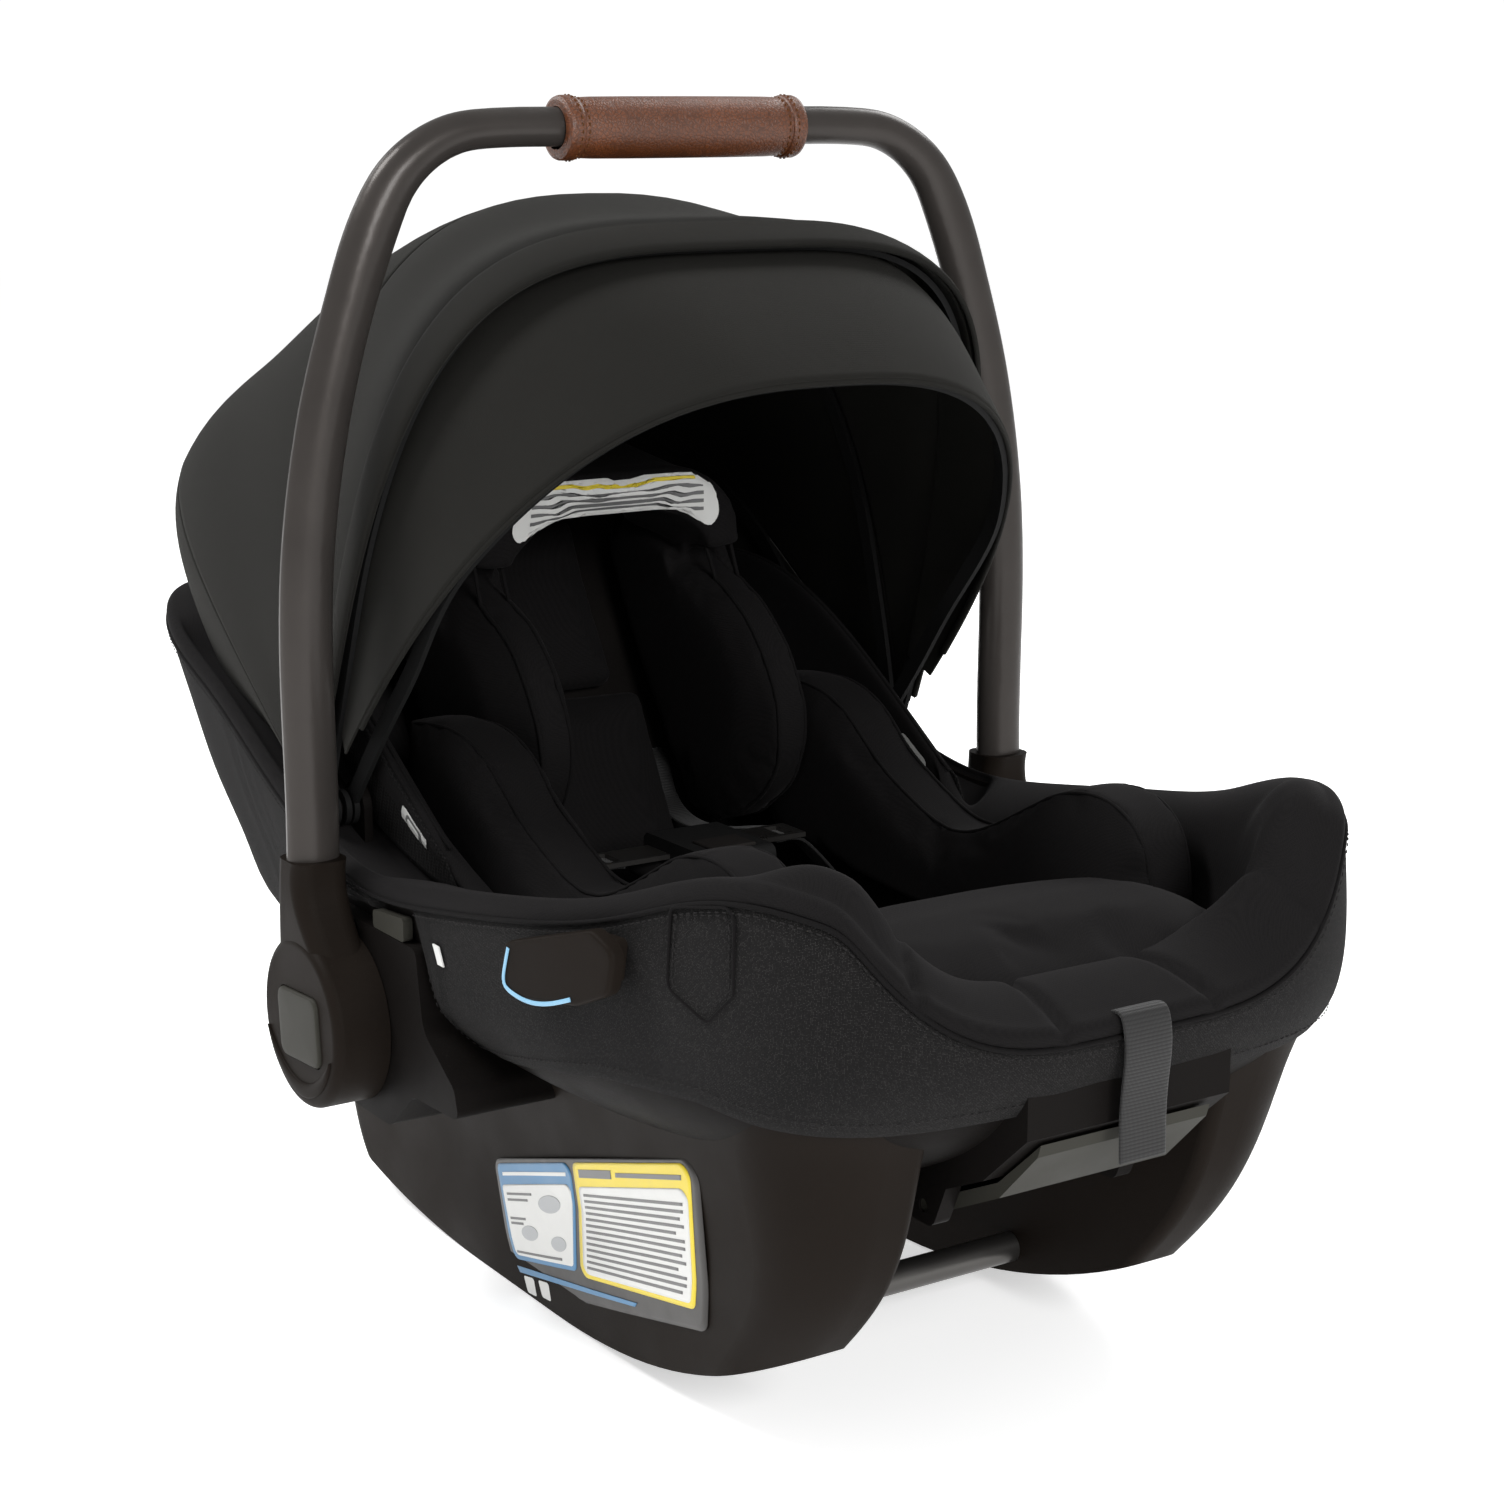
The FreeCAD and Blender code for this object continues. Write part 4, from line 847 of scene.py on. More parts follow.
def liner_grid(sizes, n):
    """Liner points. Outside the rim it climbs and turns a quarter circle inwards. It then falls to the
    bowl on a
    quarter ellipse, across by sine and down by one minus cosine, held high and crowned at the foot end. Beside
    the canopy's arms it dips and rises over the fin instead: the two are mixed by how far the fin stands above
    the rim. Below, it follows the bowl and closes over the floor."""
    u, top, _ = rim_grid(n)
    col, r, drop = u[:, None], sizes.rim_roll, sizes.seam_drop
    a = np.linspace(0, math.pi / 2, 8)
    rise = np.linspace(0, 1, 4)[:-1]
    off = np.concatenate([4.0 + 0 * rise, -2.0 + r * np.cos(a)])
    off[0] -= 1.0
    z = top[:, None] + np.concatenate([-drop + (drop - r) * rise, -r + r * np.sin(a)])
    outside = bowl(SHELL_LEVELS, col + 0 * z, z, off + 0 * z)
    fin = fin_height(u)
    crest = outside[:, -1]
    m = 30
    t = np.linspace(0, 1, m + 1)[1:]
    foot = bowl(PAD_LEVELS, u, top - 45.0, np.zeros(n))
    theta = t * math.pi / 2
    toe = np.clip((-262 - crest[:, 1]) / 34, 0, 1)
    toe = (toe * toe * (3 - 2 * toe))[:, None]
    across, drop_share = np.sin(theta) + 0 * toe, (1 - np.cos(theta)) ** (1 + 1.6 * toe)
    fall = crest[:, None] + (foot - crest)[:, None] * np.stack([across, across, drop_share], 2)
    fall[..., 2] += 7.0 * toe * np.sin(math.pi * np.clip(across / 0.8, 0, 1))
    high = np.maximum(fin, top - 6)
    keys = [crest, bowl(SHELL_LEVELS, u, top - 9.0, np.full(n, -7.5))]
    for height, grow in ((top - 19.0, 8.5), ((top - 19.0 + high) / 2, 8.0), (high - 4.5, 7.2), (high - 1.0, 5.6),
                         (high - 0.4, 3.0), (high - 3.5, 0.6), (high - 16.0, 0.0)):
        keys.append(bowl(PAD_LEVELS, u, height, np.full(n, grow)))
    keys = np.stack(keys)
    stand = cubic(np.linspace(0, 1, len(keys)), keys.reshape(len(keys), -1), t)
    stand = stand.reshape(m, n, 3).transpose(1, 0, 2)
    mix = np.clip((fin - top - 2.0) / 14.0, 0, 1) * (crest[:, 1] > -150)
    mix = (mix * mix * (3 - 2 * mix))[:, None, None]
    bridge = fall * (1 - mix) + stand * mix
    z0 = bridge[:, -1:, 2]
    z = z0 + (151.0 - z0) * np.linspace(0, 1, 24)[1:]
    down = bowl(PAD_LEVELS, col + 0 * z, z, np.zeros(z.shape))
    edge = down[:, -1]
    centre = np.stack([0 * edge[:, 0], np.clip(edge[:, 1], -150, 30), 0 * edge[:, 0] + 150.5], 1)
    floor = edge[:, None] + (centre - edge)[:, None] * (np.linspace(0, 1, 9)[1:] ** 0.9)[:, None]
    p = np.concatenate([outside, bridge, down, floor], 1)
    # sewn channels over the foot end: grooves that fan out and fade at both ends, with fullness between them
    x, y = p[..., 0], p[..., 1]
    fade = np.clip((-262 - y) / 22, 0, 1) * np.clip((p[..., 2] - 186) / 14, 0, 1)
    groove = np.zeros(x.shape)
    for x0 in (-100.0, -36.0, 36.0, 100.0):
        groove += np.exp(-((x - x0 * (1 + (-300 - y) / 300)) / 2.8) ** 2)
    p[..., 2] += (1.2 - 4.4 * groove) * fade
    return u, top, fin, p


class CARRIER_OT_liner(bpy.types.Operator):
    """Jersey liner: from the rim's outer seam over its padded top and fins, down the bowl and over the
    floor"""
    bl_idname = "carrier.liner"
    bl_label = "Seat Liner"

    def execute(self, context):
        sizes, col = context.scene.carrier_sizes, context.scene.carrier_colours
        u, top, fin, p = liner_grid(sizes, sizes.round_side)
        knit = jersey(col)
        liner = surface("seat_liner", p, wrap_u=True)
        tidy_mesh(liner)
        finish_piece(liner, "carrier", knit, ("seat_pad", "foam_liner"), solid=1.5)
        # the bucket's wall, kept under the cloth where the rim dips at the foot end
        bucket = bpy.data.objects.new("bucket_wall", frame["nodes"]["seat_shell"].data.copy())
        bpy.context.scene.collection.objects.link(bucket)
        q = points_of(bucket)
        dipped = np.minimum(q[:, 2], saddle_height(q[:, 0]) - 7.0)
        q[:, 2] = np.where((q[:, 1] < -255) & (q[:, 2] > 190), dipped, q[:, 2])
        set_points(bucket, q)
        finish_piece(bucket, "carrier", bucket_plastic(col), ("seat_shell",))
        cord = piping_cord(col)
        line = bowl(SHELL_LEVELS, u, top - sizes.seam_drop + 0.6, 4.2)
        out = bowl(SHELL_LEVELS, u, top - sizes.seam_drop + 0.6, 6.0) - line
        bead = sweep("rim_piping", line, oval(2.2, 2.2, 10, 2.0), out, closed=True)
        finish_piece(bead, "carrier", cord)
        net = knitted("Spacer mesh", tuple(col.mesh), loop=2.2, depth=0.16, mesh=0.8)
        tall = (fin - top > 8) & (bowl(SHELL_LEVELS, u, top, 0.0)[:, 1] > -100)
        for side, keep in (("right", u < 0.5), ("left", u > 0.5)):
            at = u[tall & keep]
            line = bowl(PAD_LEVELS, at, fin[tall & keep] - 0.2, 3.4)
            bead = sweep("fin_piping_" + side, line, oval(2.0, 2.0, 10, 2.0), (1, 0, 0))
            finish_piece(bead, "carrier", cord)
            # mesh panel on the fin's outer face, from 4 mm under the top to 12 mm under the rim
            low, high = top[tall & keep] - 12.0, fin[tall & keep] - 4.0
            z = low[:, None] + (high - low)[:, None] * np.linspace(0, 1, 12)
            band = bowl(PAD_LEVELS, at[:, None] + 0 * z, z, np.linspace(8.9, 8.0, 12) + 0 * z)
            finish_piece(surface("fin_mesh_" + side, band), "carrier", net, solid=0.6)
        return {"FINISHED"}


# ---------------------------------------------------------------- padding
def pattern_from(node, name, voxel, shrink):
    """Copies a padding solid, joins its faces, pulls it in a little and remeshes it on an even grid."""
    obj = bpy.data.objects.new(name, frame["nodes"][node].data.copy())
    bpy.context.scene.collection.objects.link(obj)
    obj.data.materials.clear()
    tidy_mesh(obj, 1e-5)
    bpy.ops.object.select_all(action="DESELECT")
    obj.select_set(True)
    bpy.context.view_layer.objects.active = obj
    mod = obj.modifiers.new("Remesh", "REMESH")
    mod.mode = "VOXEL"
    mod.voxel_size = voxel * MM
    bpy.ops.object.modifier_apply(modifier=mod.name)
    if shrink:
        nrm = np.empty(len(obj.data.vertices) * 3, np.float32)
        obj.data.vertex_normals.foreach_get("vector", nrm)
        set_points(obj, points_of(obj) - nrm.reshape(-1, 3) * shrink)
    smooth = obj.modifiers.new("Relax", "SMOOTH")
    smooth.factor = 0.5
    smooth.iterations = 3
    bpy.ops.object.modifier_apply(modifier=smooth.name)
    return obj


def blow_up(objects, pressure, limits, frames):
    """Inflates the cloth of several pieces together, holds each point within its limit, and keeps the
    result in the mesh."""
    scene = bpy.context.scene
    rest = [points_of(o) for o in objects]
    for o in objects:
        c = o.modifiers.new("Fill", "CLOTH")
        c.settings.use_pressure = True
        c.settings.uniform_pressure_force = pressure
        c.settings.effector_weights.gravity = 0.0
        c.settings.quality = 5
        c.settings.tension_stiffness = c.settings.compression_stiffness = 20
        c.settings.bending_stiffness = 0.8
        c.point_cache.frame_start, c.point_cache.frame_end = 1, frames
    for f in range(1, frames + 1):
        scene.frame_set(f)
    deps = bpy.context.evaluated_depsgraph_get()
    for o, p0, cap in zip(objects, rest, limits):
        done = o.evaluated_get(deps)
        co = np.empty(len(done.data.vertices) * 3, np.float32)
        done.data.vertices.foreach_get("co", co)
        move = co.reshape(-1, 3) / MM - p0
        far = np.linalg.norm(move, axis=1)[:, None]
        o.modifiers.clear()
        set_points(o, p0 + move * np.minimum(1, cap / np.maximum(far, 1e-6)))
    scene.frame_set(1)
    for o in objects:
        o.data.polygons.foreach_set("use_smooth", np.ones(len(o.data.polygons), bool))


def dent(obj, path, width, depth):
    """Presses a sewn channel into a pad: points near a path sink along their normals by a bell of the
    given width."""
    p = points_of(obj)
    nrm = np.empty(len(p) * 3, np.float32)
    obj.data.vertex_normals.foreach_get("vector", nrm)
    q = np.asarray(path, float)
    far = np.full(len(p), 1e9)
    for k in range(0, len(q), 40):
        far = np.minimum(far, np.linalg.norm(p[:, None] - q[None, k:k + 40], axis=2).min(1))
    set_points(obj, p - nrm.reshape(-1, 3) * (depth * np.exp(-(far / width) ** 2))[:, None])


def seam(name, target, path, body, material, radius=0.9, sides=(1, 0, 0)):
    """A corded seam: a thin round bead laid on a pad along a path."""
    pos, _ = snap(path, target, 0.2)
    kernel = np.ones(5) / 5
    pos[2:-2] = np.stack([np.convolve(pos[:, c], kernel, "valid") for c in range(3)], 1)
    bead = sweep(name, pos, oval(2 * radius, 2 * radius, 8, 2.0), sides)
    finish_piece(bead, body, material)
    return bead


def on_back(s, t):
    """Place (y, z) at s up the backrest and t out of it."""
    q = BACK + ALONG * s + OUT * t
    return (q[1], q[2])


# Sewn outlines of the wings seen from the side (y, z).
HEAD_WING = [(168, 353), (119, 347), (84, 331), (55, 311), (36, 287), (25, 258), (31, 228), (58, 201),
             (90, 187)]
BODY_WING = [(104, 268), (60, 277), (18, 272), (-8, 258), (-44, 242), (-78, 232), (-118, 243), (-156, 257),
             (-194, 264), (-221, 255), (-234, 238), (-236, 214), (-232, 190)]


class CARRIER_OT_padding(bpy.types.Operator):
    """Cushions and pads: each solid is remeshed, blown up as cloth, smoothed, and given its seams"""
    bl_idname = "carrier.padding"
    bl_label = "Padding"

    def execute(self, context):
        sizes, col = context.scene.carrier_sizes, context.scene.carrier_colours
        knit = jersey(col)
        # node, grid, pull in, swell limit, body, fill, material
        pads = [
            ("seat_cushion", 5.0, 1.5, 6.0, "carrier", 0.6, knit),
            ("lower_back_pad", 4.0, 1.0, 9.0, "carrier", 0.7, knit),
            ("foot_roll", 5.0, 1.0, 8.0, "carrier", 0.7, knit),
            ("body_wing_left", 4.0, 1.5, 9.0, "carrier", 0.7, knit),
            ("body_wing_right", 4.0, 1.5, 9.0, "carrier", 0.7, knit),
            ("back_insert", 6.0, 0.5, 3.0, "carrier", 0.4, knit),
            ("headrest_cushion", 4.5, 1.5, 11.0, "headrest", 0.8, knit),
            ("headrest_pad", 4.0, 1.0, 5.0, "headrest", 0.7, knit),
            ("crotch_pad", 3.0, 0.5, 2.0, "carrier", 0.6, knit),
        ]
        made = [pattern_from(node, "padded_" + node, grid, pull) for node, grid, pull, *_ in pads]
        blow_up(made, sizes.pressure, [p[3] for p in pads], sizes.frames)
        for obj, (node, *_) in zip(made, pads):
            if node == "foot_roll":
                p = points_of(obj)
                p[:, 2] += 8.0 * np.clip((p[:, 2] - 188) / 28, 0, 1)
                p[:, 1] -= 5.0 * np.clip((-240 - p[:, 1]) / 40, 0, 1)
                set_points(obj, p)
            if node.startswith("body_wing"):
                x = -92.0 if node.endswith("left") else 92.0
                crease = np.stack([np.full(30, x), np.linspace(-63, -71, 30), np.linspace(186, 236, 30)], 1)
                dent(obj, crease, 4.5, 3.0)
        for obj, (node, _, _, _, body, fill, material) in zip(made, pads):
            finish_piece(obj, body, material, (node,), subdivide=1)
        cord = piping_cord(col)
        by_node = {pad[0]: obj for pad, obj in zip(pads, made)}
        wing = along(HEAD_WING, 120)
        bolster = along(BODY_WING, 90)
        for s, side in ((-1, "left"), (1, "right")):
            for k, x in enumerate((61.0, 84.0)):
                path = np.stack([np.full(len(wing), s * x), wing[:, 0], wing[:, 1]], 1)
                name = "head_wing_piping_%s_%d" % (side, k)
                seam(name, by_node["headrest_cushion"], path, "headrest", cord, 1.1)
            for k, x in enumerate((92.0, 120.0)):
                path = np.stack([np.full(len(bolster), s * x), bolster[:, 0], bolster[:, 1]], 1)
                name = "body_wing_piping_%s_%d" % (side, k)
                seam(name, by_node["body_wing_" + side], path, "carrier", cord, 0.9)
        ring = rounded([(-100, -296), (100, -296), (100, -155), (-100, -155)], 26.0, 12)
        path = np.stack([ring[:, 0], ring[:, 1], np.full(len(ring), 207.0)], 1)
        path = np.concatenate([path, path[:1]])
        seam("foot_roll_piping", by_node["foot_roll"], path, "carrier", cord, 1.0, (0, 0, 1))
        return {"FINISHED"}


# ---------------------------------------------------------------- canopy
def arch(reach, half, square, h0, n):
    """Arch from the right end to the left: a superellipse of the given half width and reach, starting
    h0 above the pivot."""
    t0 = np.arcsin((h0 / reach) ** (square / 2))
    v = np.linspace(0, 1, n)
    t = t0[..., None] + (math.pi - 2 * t0)[..., None] * (v * v * (3 - 2 * v))
    c, s = np.cos(t), np.sin(t)
    power = (2 / square)[..., None]
    return half[..., None] * np.sign(c) * np.abs(c) ** power, reach[..., None] * s ** power


def panel(sections, h0, rows, n=97, grow=0.0, phi=None):
    """Cloth between hoops: reach, half width and squareness change smoothly with the angle; each row is
    an arch turned to its angle."""
    phi = np.linspace(sections[0, 0], sections[-1, 0], rows) if phi is None else np.asarray(phi, float)
    row = cubic(sections[:, 0], sections[:, 1:], phi)
    x, h = arch(row[:, 0] + grow, row[:, 1] + grow, row[:, 2], np.full(len(phi), h0), n)
    a = np.radians(phi)[:, None]
    return np.stack([x, PIVOT[1] + h * np.cos(a), PIVOT[2] + h * np.sin(a)], -1)


def hang_between(obj):
    """Bakes the cloth's transform into its mesh."""
    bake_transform(obj)
    p = points_of(obj)


class CARRIER_OT_canopy(bpy.types.Operator):
    """Canopy: four cloth panels over the hoops, their seams, the raised front hem and the soft visor"""
    bl_idname = "carrier.canopy"
    bl_label = "Canopy"

    def execute(self, context):
        sizes, col = context.scene.carrier_sizes, context.scene.carrier_colours
        cloth = woven("Canopy cloth", tuple(col.canopy), (0.036, 0.036, 0.032), thread=0.42, depth=0.08,
                      fleck_from=0.93)
        thread = seam_thread()
        t = sizes.canopy_cloth
        rear = surface("canopy_rear_panel", panel(REAR_PANEL, 34.0, 30))
        mid = surface("canopy_mid_panel", panel(MID_PANEL, 16.0, 56))
        front = surface("canopy_front_panel", panel(FRONT_PANEL, 16.0, 44))
        visor = surface("canopy_visor_panel", panel(VISOR_PANEL, 45.0, 34))
        finish_piece(rear, "carrier", cloth, ("canopy_rear_cloth",), solid=t)
        for obj, node, a, b, lo, hi in (
            (mid, "canopy_mid_cloth", "carrier", "canopy_mid", 34.3, 79.8),
            (front, "canopy_front_cloth", "canopy_mid", "canopy_front", 80.2, 108.0),
            (visor, "canopy_visor_cloth", "canopy_front", "canopy_visor", 112.0, 128.0),
        ):
            hang_between(obj)
            finish_piece(obj, None, cloth, (node,), solid=t)
        # raised hem: a flat padded band round the front panel's front, with stitches along each edge
        phi = np.linspace(106.6, 112.6, 9)
        band = panel(FRONT_PANEL, 20.0, 9, phi=phi, n=121)
        lift = (0.5 + 2.0 * np.clip(np.sin(np.linspace(0, math.pi, 9)), 0, 1) ** 0.45)[:, None]
        a = np.radians(phi)[:, None]
        out = band - PIVOT
        out /= np.linalg.norm(out, axis=2)[..., None]
        hem = surface("canopy_hem", band + out * lift[..., None])
        finish_piece(hem, "canopy_front", cloth, solid=2.6)
        for k, (phi_k, body, up, sec) in enumerate((
            (107.5, "canopy_front", 2.6, FRONT_PANEL), (111.6, "canopy_front", 2.6, FRONT_PANEL),
            (78.9, "canopy_mid", 0.1, MID_PANEL), (81.3, "canopy_mid", 0.1, FRONT_PANEL),
            (33.2, "carrier", 0.1, REAR_PANEL), (35.4, "carrier", 0.1, MID_PANEL),
            (37.0, "carrier", 0.1, MID_PANEL), (129.6, "canopy_visor", 0.1, VISOR_PANEL),
            (126.8, "canopy_visor", 0.1, VISOR_PANEL), (16.6, "carrier", 0.1, REAR_PANEL),
        )):
            line = panel(sec, 96.0 if sec is VISOR_PANEL else 36.0, 1, n=161, grow=up, phi=[phi_k])[0]
            nrm = line - PIVOT
            nrm /= np.linalg.norm(nrm, axis=1)[:, None]
            row = stitches("canopy_stitches_%02d" % k, line, nrm, length=sizes.stitch, gap=1.5, radius=0.34)
            finish_piece(row, body, thread)
        # bound edges: front of the visor and back of the rear panel
        edges = (("visor_binding", VISOR_PANEL, 131.0, "canopy_visor", 66.0),
                 ("rear_binding", REAR_PANEL, 15.4, "carrier", 34.0))
        for label, sec, phi_k, body, h0 in edges:
            line = panel(sec, h0, 1, n=161, grow=-0.6, phi=[phi_k])[0]
            ang = math.radians(phi_k)
            bead = sweep(label, line, oval(4.4, 2.6, 12, 2.4), (0, -math.sin(ang), math.cos(ang)))
            finish_piece(bead, body, cloth)
        return {"FINISHED"}


# ---------------------------------------------------------------- handle
def crescent_grid(side):
    """Raised crescent below a hub button: an outer arc of a circle and a flatter inner parabola that
    meet in two
    points. Each point of the outer arc is joined to the inner one at the same share of its length, in a strip
    that rises, crowns and falls again."""
    radius, ends = 36.5, 16.0
    turn = np.radians(np.linspace(180 + ends, 360 - ends, 40))
    back = np.linspace(1, -1, 40)[1:-1]
    inner = np.stack([back * radius * math.cos(math.radians(ends)), -10.1 - 19.0 * (1 - back ** 2)], 1)
    centre = (HUB[1], HUB[2])
    outer = np.stack([radius * np.cos(turn), radius * np.sin(turn)], 1) + centre
    inner = inner + centre
    inner = np.concatenate([outer[-1:], inner, outer[:1]])[::-1]
    t = np.linspace(0, 1, 60)
    a, b = (np.stack([np.interp(t, np.linspace(0, 1, len(arc)), arc[:, k]) for k in range(2)], 1)
            for arc in (outer, inner))
    v = np.array([0.0, 0.0, 0.12, 0.5, 0.88, 1.0, 1.0])
    up = np.array([219.0, 220.5, 221.1, 221.3, 221.1, 220.5, 219.0])
    yz = a[:, None] * (1 - v[:, None]) + b[:, None] * v[:, None]
    return np.stack([side * np.broadcast_to(up, yz.shape[:2]), yz[..., 0], yz[..., 1]], -1)


class CARRIER_OT_handle(bpy.types.Operator):
    """Leather grip with its stitched collars, and the domed release buttons on the hubs"""
    bl_idname = "carrier.handle"
    bl_label = "Grip and Buttons"

    def execute(self, context):
        col = context.scene.carrier_colours
        hide = leather_material("Leather", tuple(col.leather))
        a = np.linspace(0, 2 * math.pi, 64, endpoint=False)
        # radius along the grip: collar, step, slightly waisted sleeve, and the same again
        half = np.array([(68.0, 10.2), (67.9, 13.2), (67.0, 14.9), (65.6, 15.4), (60.4, 15.4), (59.4, 15.0),
                         (58.9, 14.2), (58.0, 14.25), (50, 14.6), (30, 14.75), (0, 14.8)])
        line = np.concatenate([half * (-1, 1), half[-2::-1]])
        x = np.interp(np.linspace(0, 1, 140), np.linspace(0, 1, len(line)), line[:, 0])
        r = np.interp(x, line[:, 0] + np.arange(len(line)) * 1e-6, line[:, 1])
        seam_dip = 0.5 * np.exp(-((a + math.pi / 2 + math.pi) % (2 * math.pi) - math.pi) ** 2 / 0.004)
        rr = r[:, None] - seam_dip
        p = np.stack([x[:, None] + 0 * rr, TUBE_Y + rr * np.cos(a), GRIP_Z + rr * np.sin(a)], -1)
        grip = surface("grip_leather", p, wrap_v=True)
        finish_piece(grip, "handle", hide, ("handle_grip",))
        thread = knitted("Grip thread", (0.11, 0.045, 0.016), loop=0.5, depth=0.05)
        rows = []
        for s in (-1, 1):
            for xs, rs in ((61.6, 15.4), (57.2, 14.3)):
                turn = np.append(a, 0)
                ring = np.stack([np.full(65, s * xs), TUBE_Y + rs * np.cos(turn), GRIP_Z + rs * np.sin(turn)], 1)
                nrm = ring - (s * xs, TUBE_Y, GRIP_Z)
                rows.append(stitches("grip_row", ring, nrm, length=2.2, gap=1.2, radius=0.35))
        finish_piece(join("grip_stitches", rows), "handle", thread)
        press = button_plastic(col)
        body = skirt_plastic(col)
        for side, s in (("left", -1), ("right", 1)):
            ridge = surface("hub_crescent_" + side, crescent_grid(s))
            tidy_mesh(ridge)
            finish_piece(ridge, "handle", body)
        trapeze = np.array([(-25, -17), (19, -20), (22, 14), (-22, 17)], float) + (HUB[1], HUB[2])
        for side, s in (("left", -1), ("right", 1)):
            outline = rounded(trapeze, 6.0)
            button = plate("hub_button_" + side, outline, s * 214.0, s * 221.6, 1.6, 0.4)
            finish_piece(button, "handle_button_" + side, press, ("handle_button_" + side,))
        return {"FINISHED"}


# ---------------------------------------------------------------- webbing
class CARRIER_OT_webbing(bpy.types.Operator):
    """Harness and adjuster webbing as ribbed ribbons along their routes"""
    bl_idname = "carrier.webbing"
    bl_label = "Webbing"

    def execute(self, context):
        col = context.scene.carrier_colours
        band = webbing_material("Webbing", tuple(col.webbing))
        adjuster = [(-300, 208.9), (-319, 208.9), (-326, 212.4), (-331, 214.6), (-335.2, 213.8), (-337.1, 210.4),
                    (-337.1, 180), (-337.1, 150)]
        path = along([(0, y, z) for y, z in adjuster], 60)
        ribbon = sweep("adjuster_webbing", path, oval(25, 1.8, 24, 6.0), (1, 0, 0))
        finish_piece(ribbon, "carrier", band, ("adjuster_strap",))
        route = [on_back(-16.5, -18.0), on_back(-16.5, -1.0), on_back(-20.0, 1.2), on_back(-40.0, 1.2),
                 (70, 196), (46, 201.6), (24, 206.2)]
        for side, s in (("left", -1), ("right", 1)):
            path = along([(s * 52, y, z) for y, z in route], 60)
            ribbon = sweep("shoulder_webbing_" + side, path, oval(13, 1.8, 20, 6.0), (1, 0, 0))
            finish_piece(ribbon, "carrier", band, ("shoulder_strap_" + side,))
            lap = [(89, 174.6), (80, 185.2), (70, 195.8), (60, 203.4), (46, 204.0)]
            path = along([(s * x, 15, z) for x, z in lap], 30)
            ribbon = sweep("lap_webbing_" + side, path, oval(18, 1.8, 20, 6.0), (0, 1, 0))
            finish_piece(ribbon, "carrier", band, ("lap_strap_" + side,))
        path = np.stack([np.zeros(12), np.full(12, -3.1), np.linspace(172, 193, 12)], 1)
        ribbon = sweep("crotch_webbing", path, oval(25, 1.8, 24, 6.0), (1, 0, 0))
        finish_piece(ribbon, "carrier", band, ("crotch_strap",))
        return {"FINISHED"}


# ---------------------------------------------------------------- plastics, metal and prints
class CARRIER_OT_finishes(bpy.types.Operator):
    """Gives every visible frame node its moulded, painted or metal finish"""
    bl_idname = "carrier.finishes"
    bl_label = "Frame Finishes"

    def execute(self, context):
        col = context.scene.carrier_colours
        shell = bucket_plastic(col)
        skirt = skirt_plastic(col)
        press = button_plastic(col)
        tube = moulded("Tube paint", tuple(col.tube), rough=0.34, grain=3000.0, depth=0.01, metal=0.35,
                       coat=0.15)
        steel = moulded("Dark steel", (0.12, 0.115, 0.11), rough=0.32, grain=2500.0, depth=0.01, metal=0.9)
        nylon = moulded("White nylon", (0.5, 0.5, 0.48), rough=0.5)
        hoop = moulded("Hoop plastic", (0.012, 0.012, 0.012), rough=0.5)
        press_button = moulded("Press button plastic", tuple(col.press_button), rough=0.35, depth=0.02)
        buckle = moulded("Buckle plastic", (0.015, 0.015, 0.015), rough=0.4)
        film = label_film()
        finishes = {
            "shell_plastic": shell, "skirt_plastic": skirt, "button_plastic": press, "handle_metal": tube,
            "steel": steel, "gear_plastic": nylon, "hoop_plastic": hoop, "button_red": press_button,
            "buckle_plastic": buckle, "label": film,
        }
        slots = {part["node"]: part["material_slot"] for part in frame["record"]["subparts"]}
        for name, node in frame["nodes"].items():
            material = finishes.get(slots[name], shell)
            node.data.materials.clear()
            node.data.materials.append(material)
        return {"FINISHED"}


def film(name, outline, place, thick=0.7):
    """A thin film: a closed outline (a, b), split into even steps, is shrunk ring by ring to its
    centre, and place
    turns (a, b, height) into a point. The outer edge is folded down by the film's thickness."""
    o = np.asarray(outline, float)
    o = np.concatenate([o, o[:1]])
    s = np.concatenate([[0], np.cumsum(np.linalg.norm(np.diff(o, axis=0), axis=1))])
    at = np.unique(np.concatenate([s[:-1], np.linspace(0, s[-1], 96, endpoint=False)]))
    o = np.stack([np.interp(at, s, o[:, 0]), np.interp(at, s, o[:, 1])], 1)
    c = (o.max(0) + o.min(0)) / 2
    share = np.concatenate([[1.0], np.linspace(1, 0, 20)])
    ab = c + (o - c)[:, None] * share[None, :, None]
    height = np.zeros(ab.shape[:2])
    height[:, 0] = -thick
    return surface(name, place(ab[..., 0], ab[..., 1], height), wrap_u=True, weld=True)


def on_skirt(lift):
    """Place on the left skirt's side: a along Y, b up, height out of the face."""
    def place(a, b, height):
        return np.stack([-(np.interp(b, SKIRT_X[:, 0], SKIRT_X[:, 1]) + lift + height), a, b], -1)
    return place


def in_quad(quad, outline):
    """Outline points given as shares (across, down) of a four-cornered panel: a mix of its four corners."""
    q, o = np.asarray(quad, float), np.asarray(outline, float)
    s, t = o[:, :1], o[:, 1:]
    return (1 - t) * ((1 - s) * q[0] + s * q[1]) + t * ((1 - s) * q[3] + s * q[2])


def bar(x0, x1, y0, y1, n=10):
    """Box outline with n points on each side, as shares."""
    e = np.linspace(0, 1, n, endpoint=False)[:, None]
    c = np.array([(x0, y0), (x1, y0), (x1, y1), (x0, y1)], float)
    return np.concatenate([c[i] + (c[(i + 1) % 4] - c[i]) * e for i in range(4)])


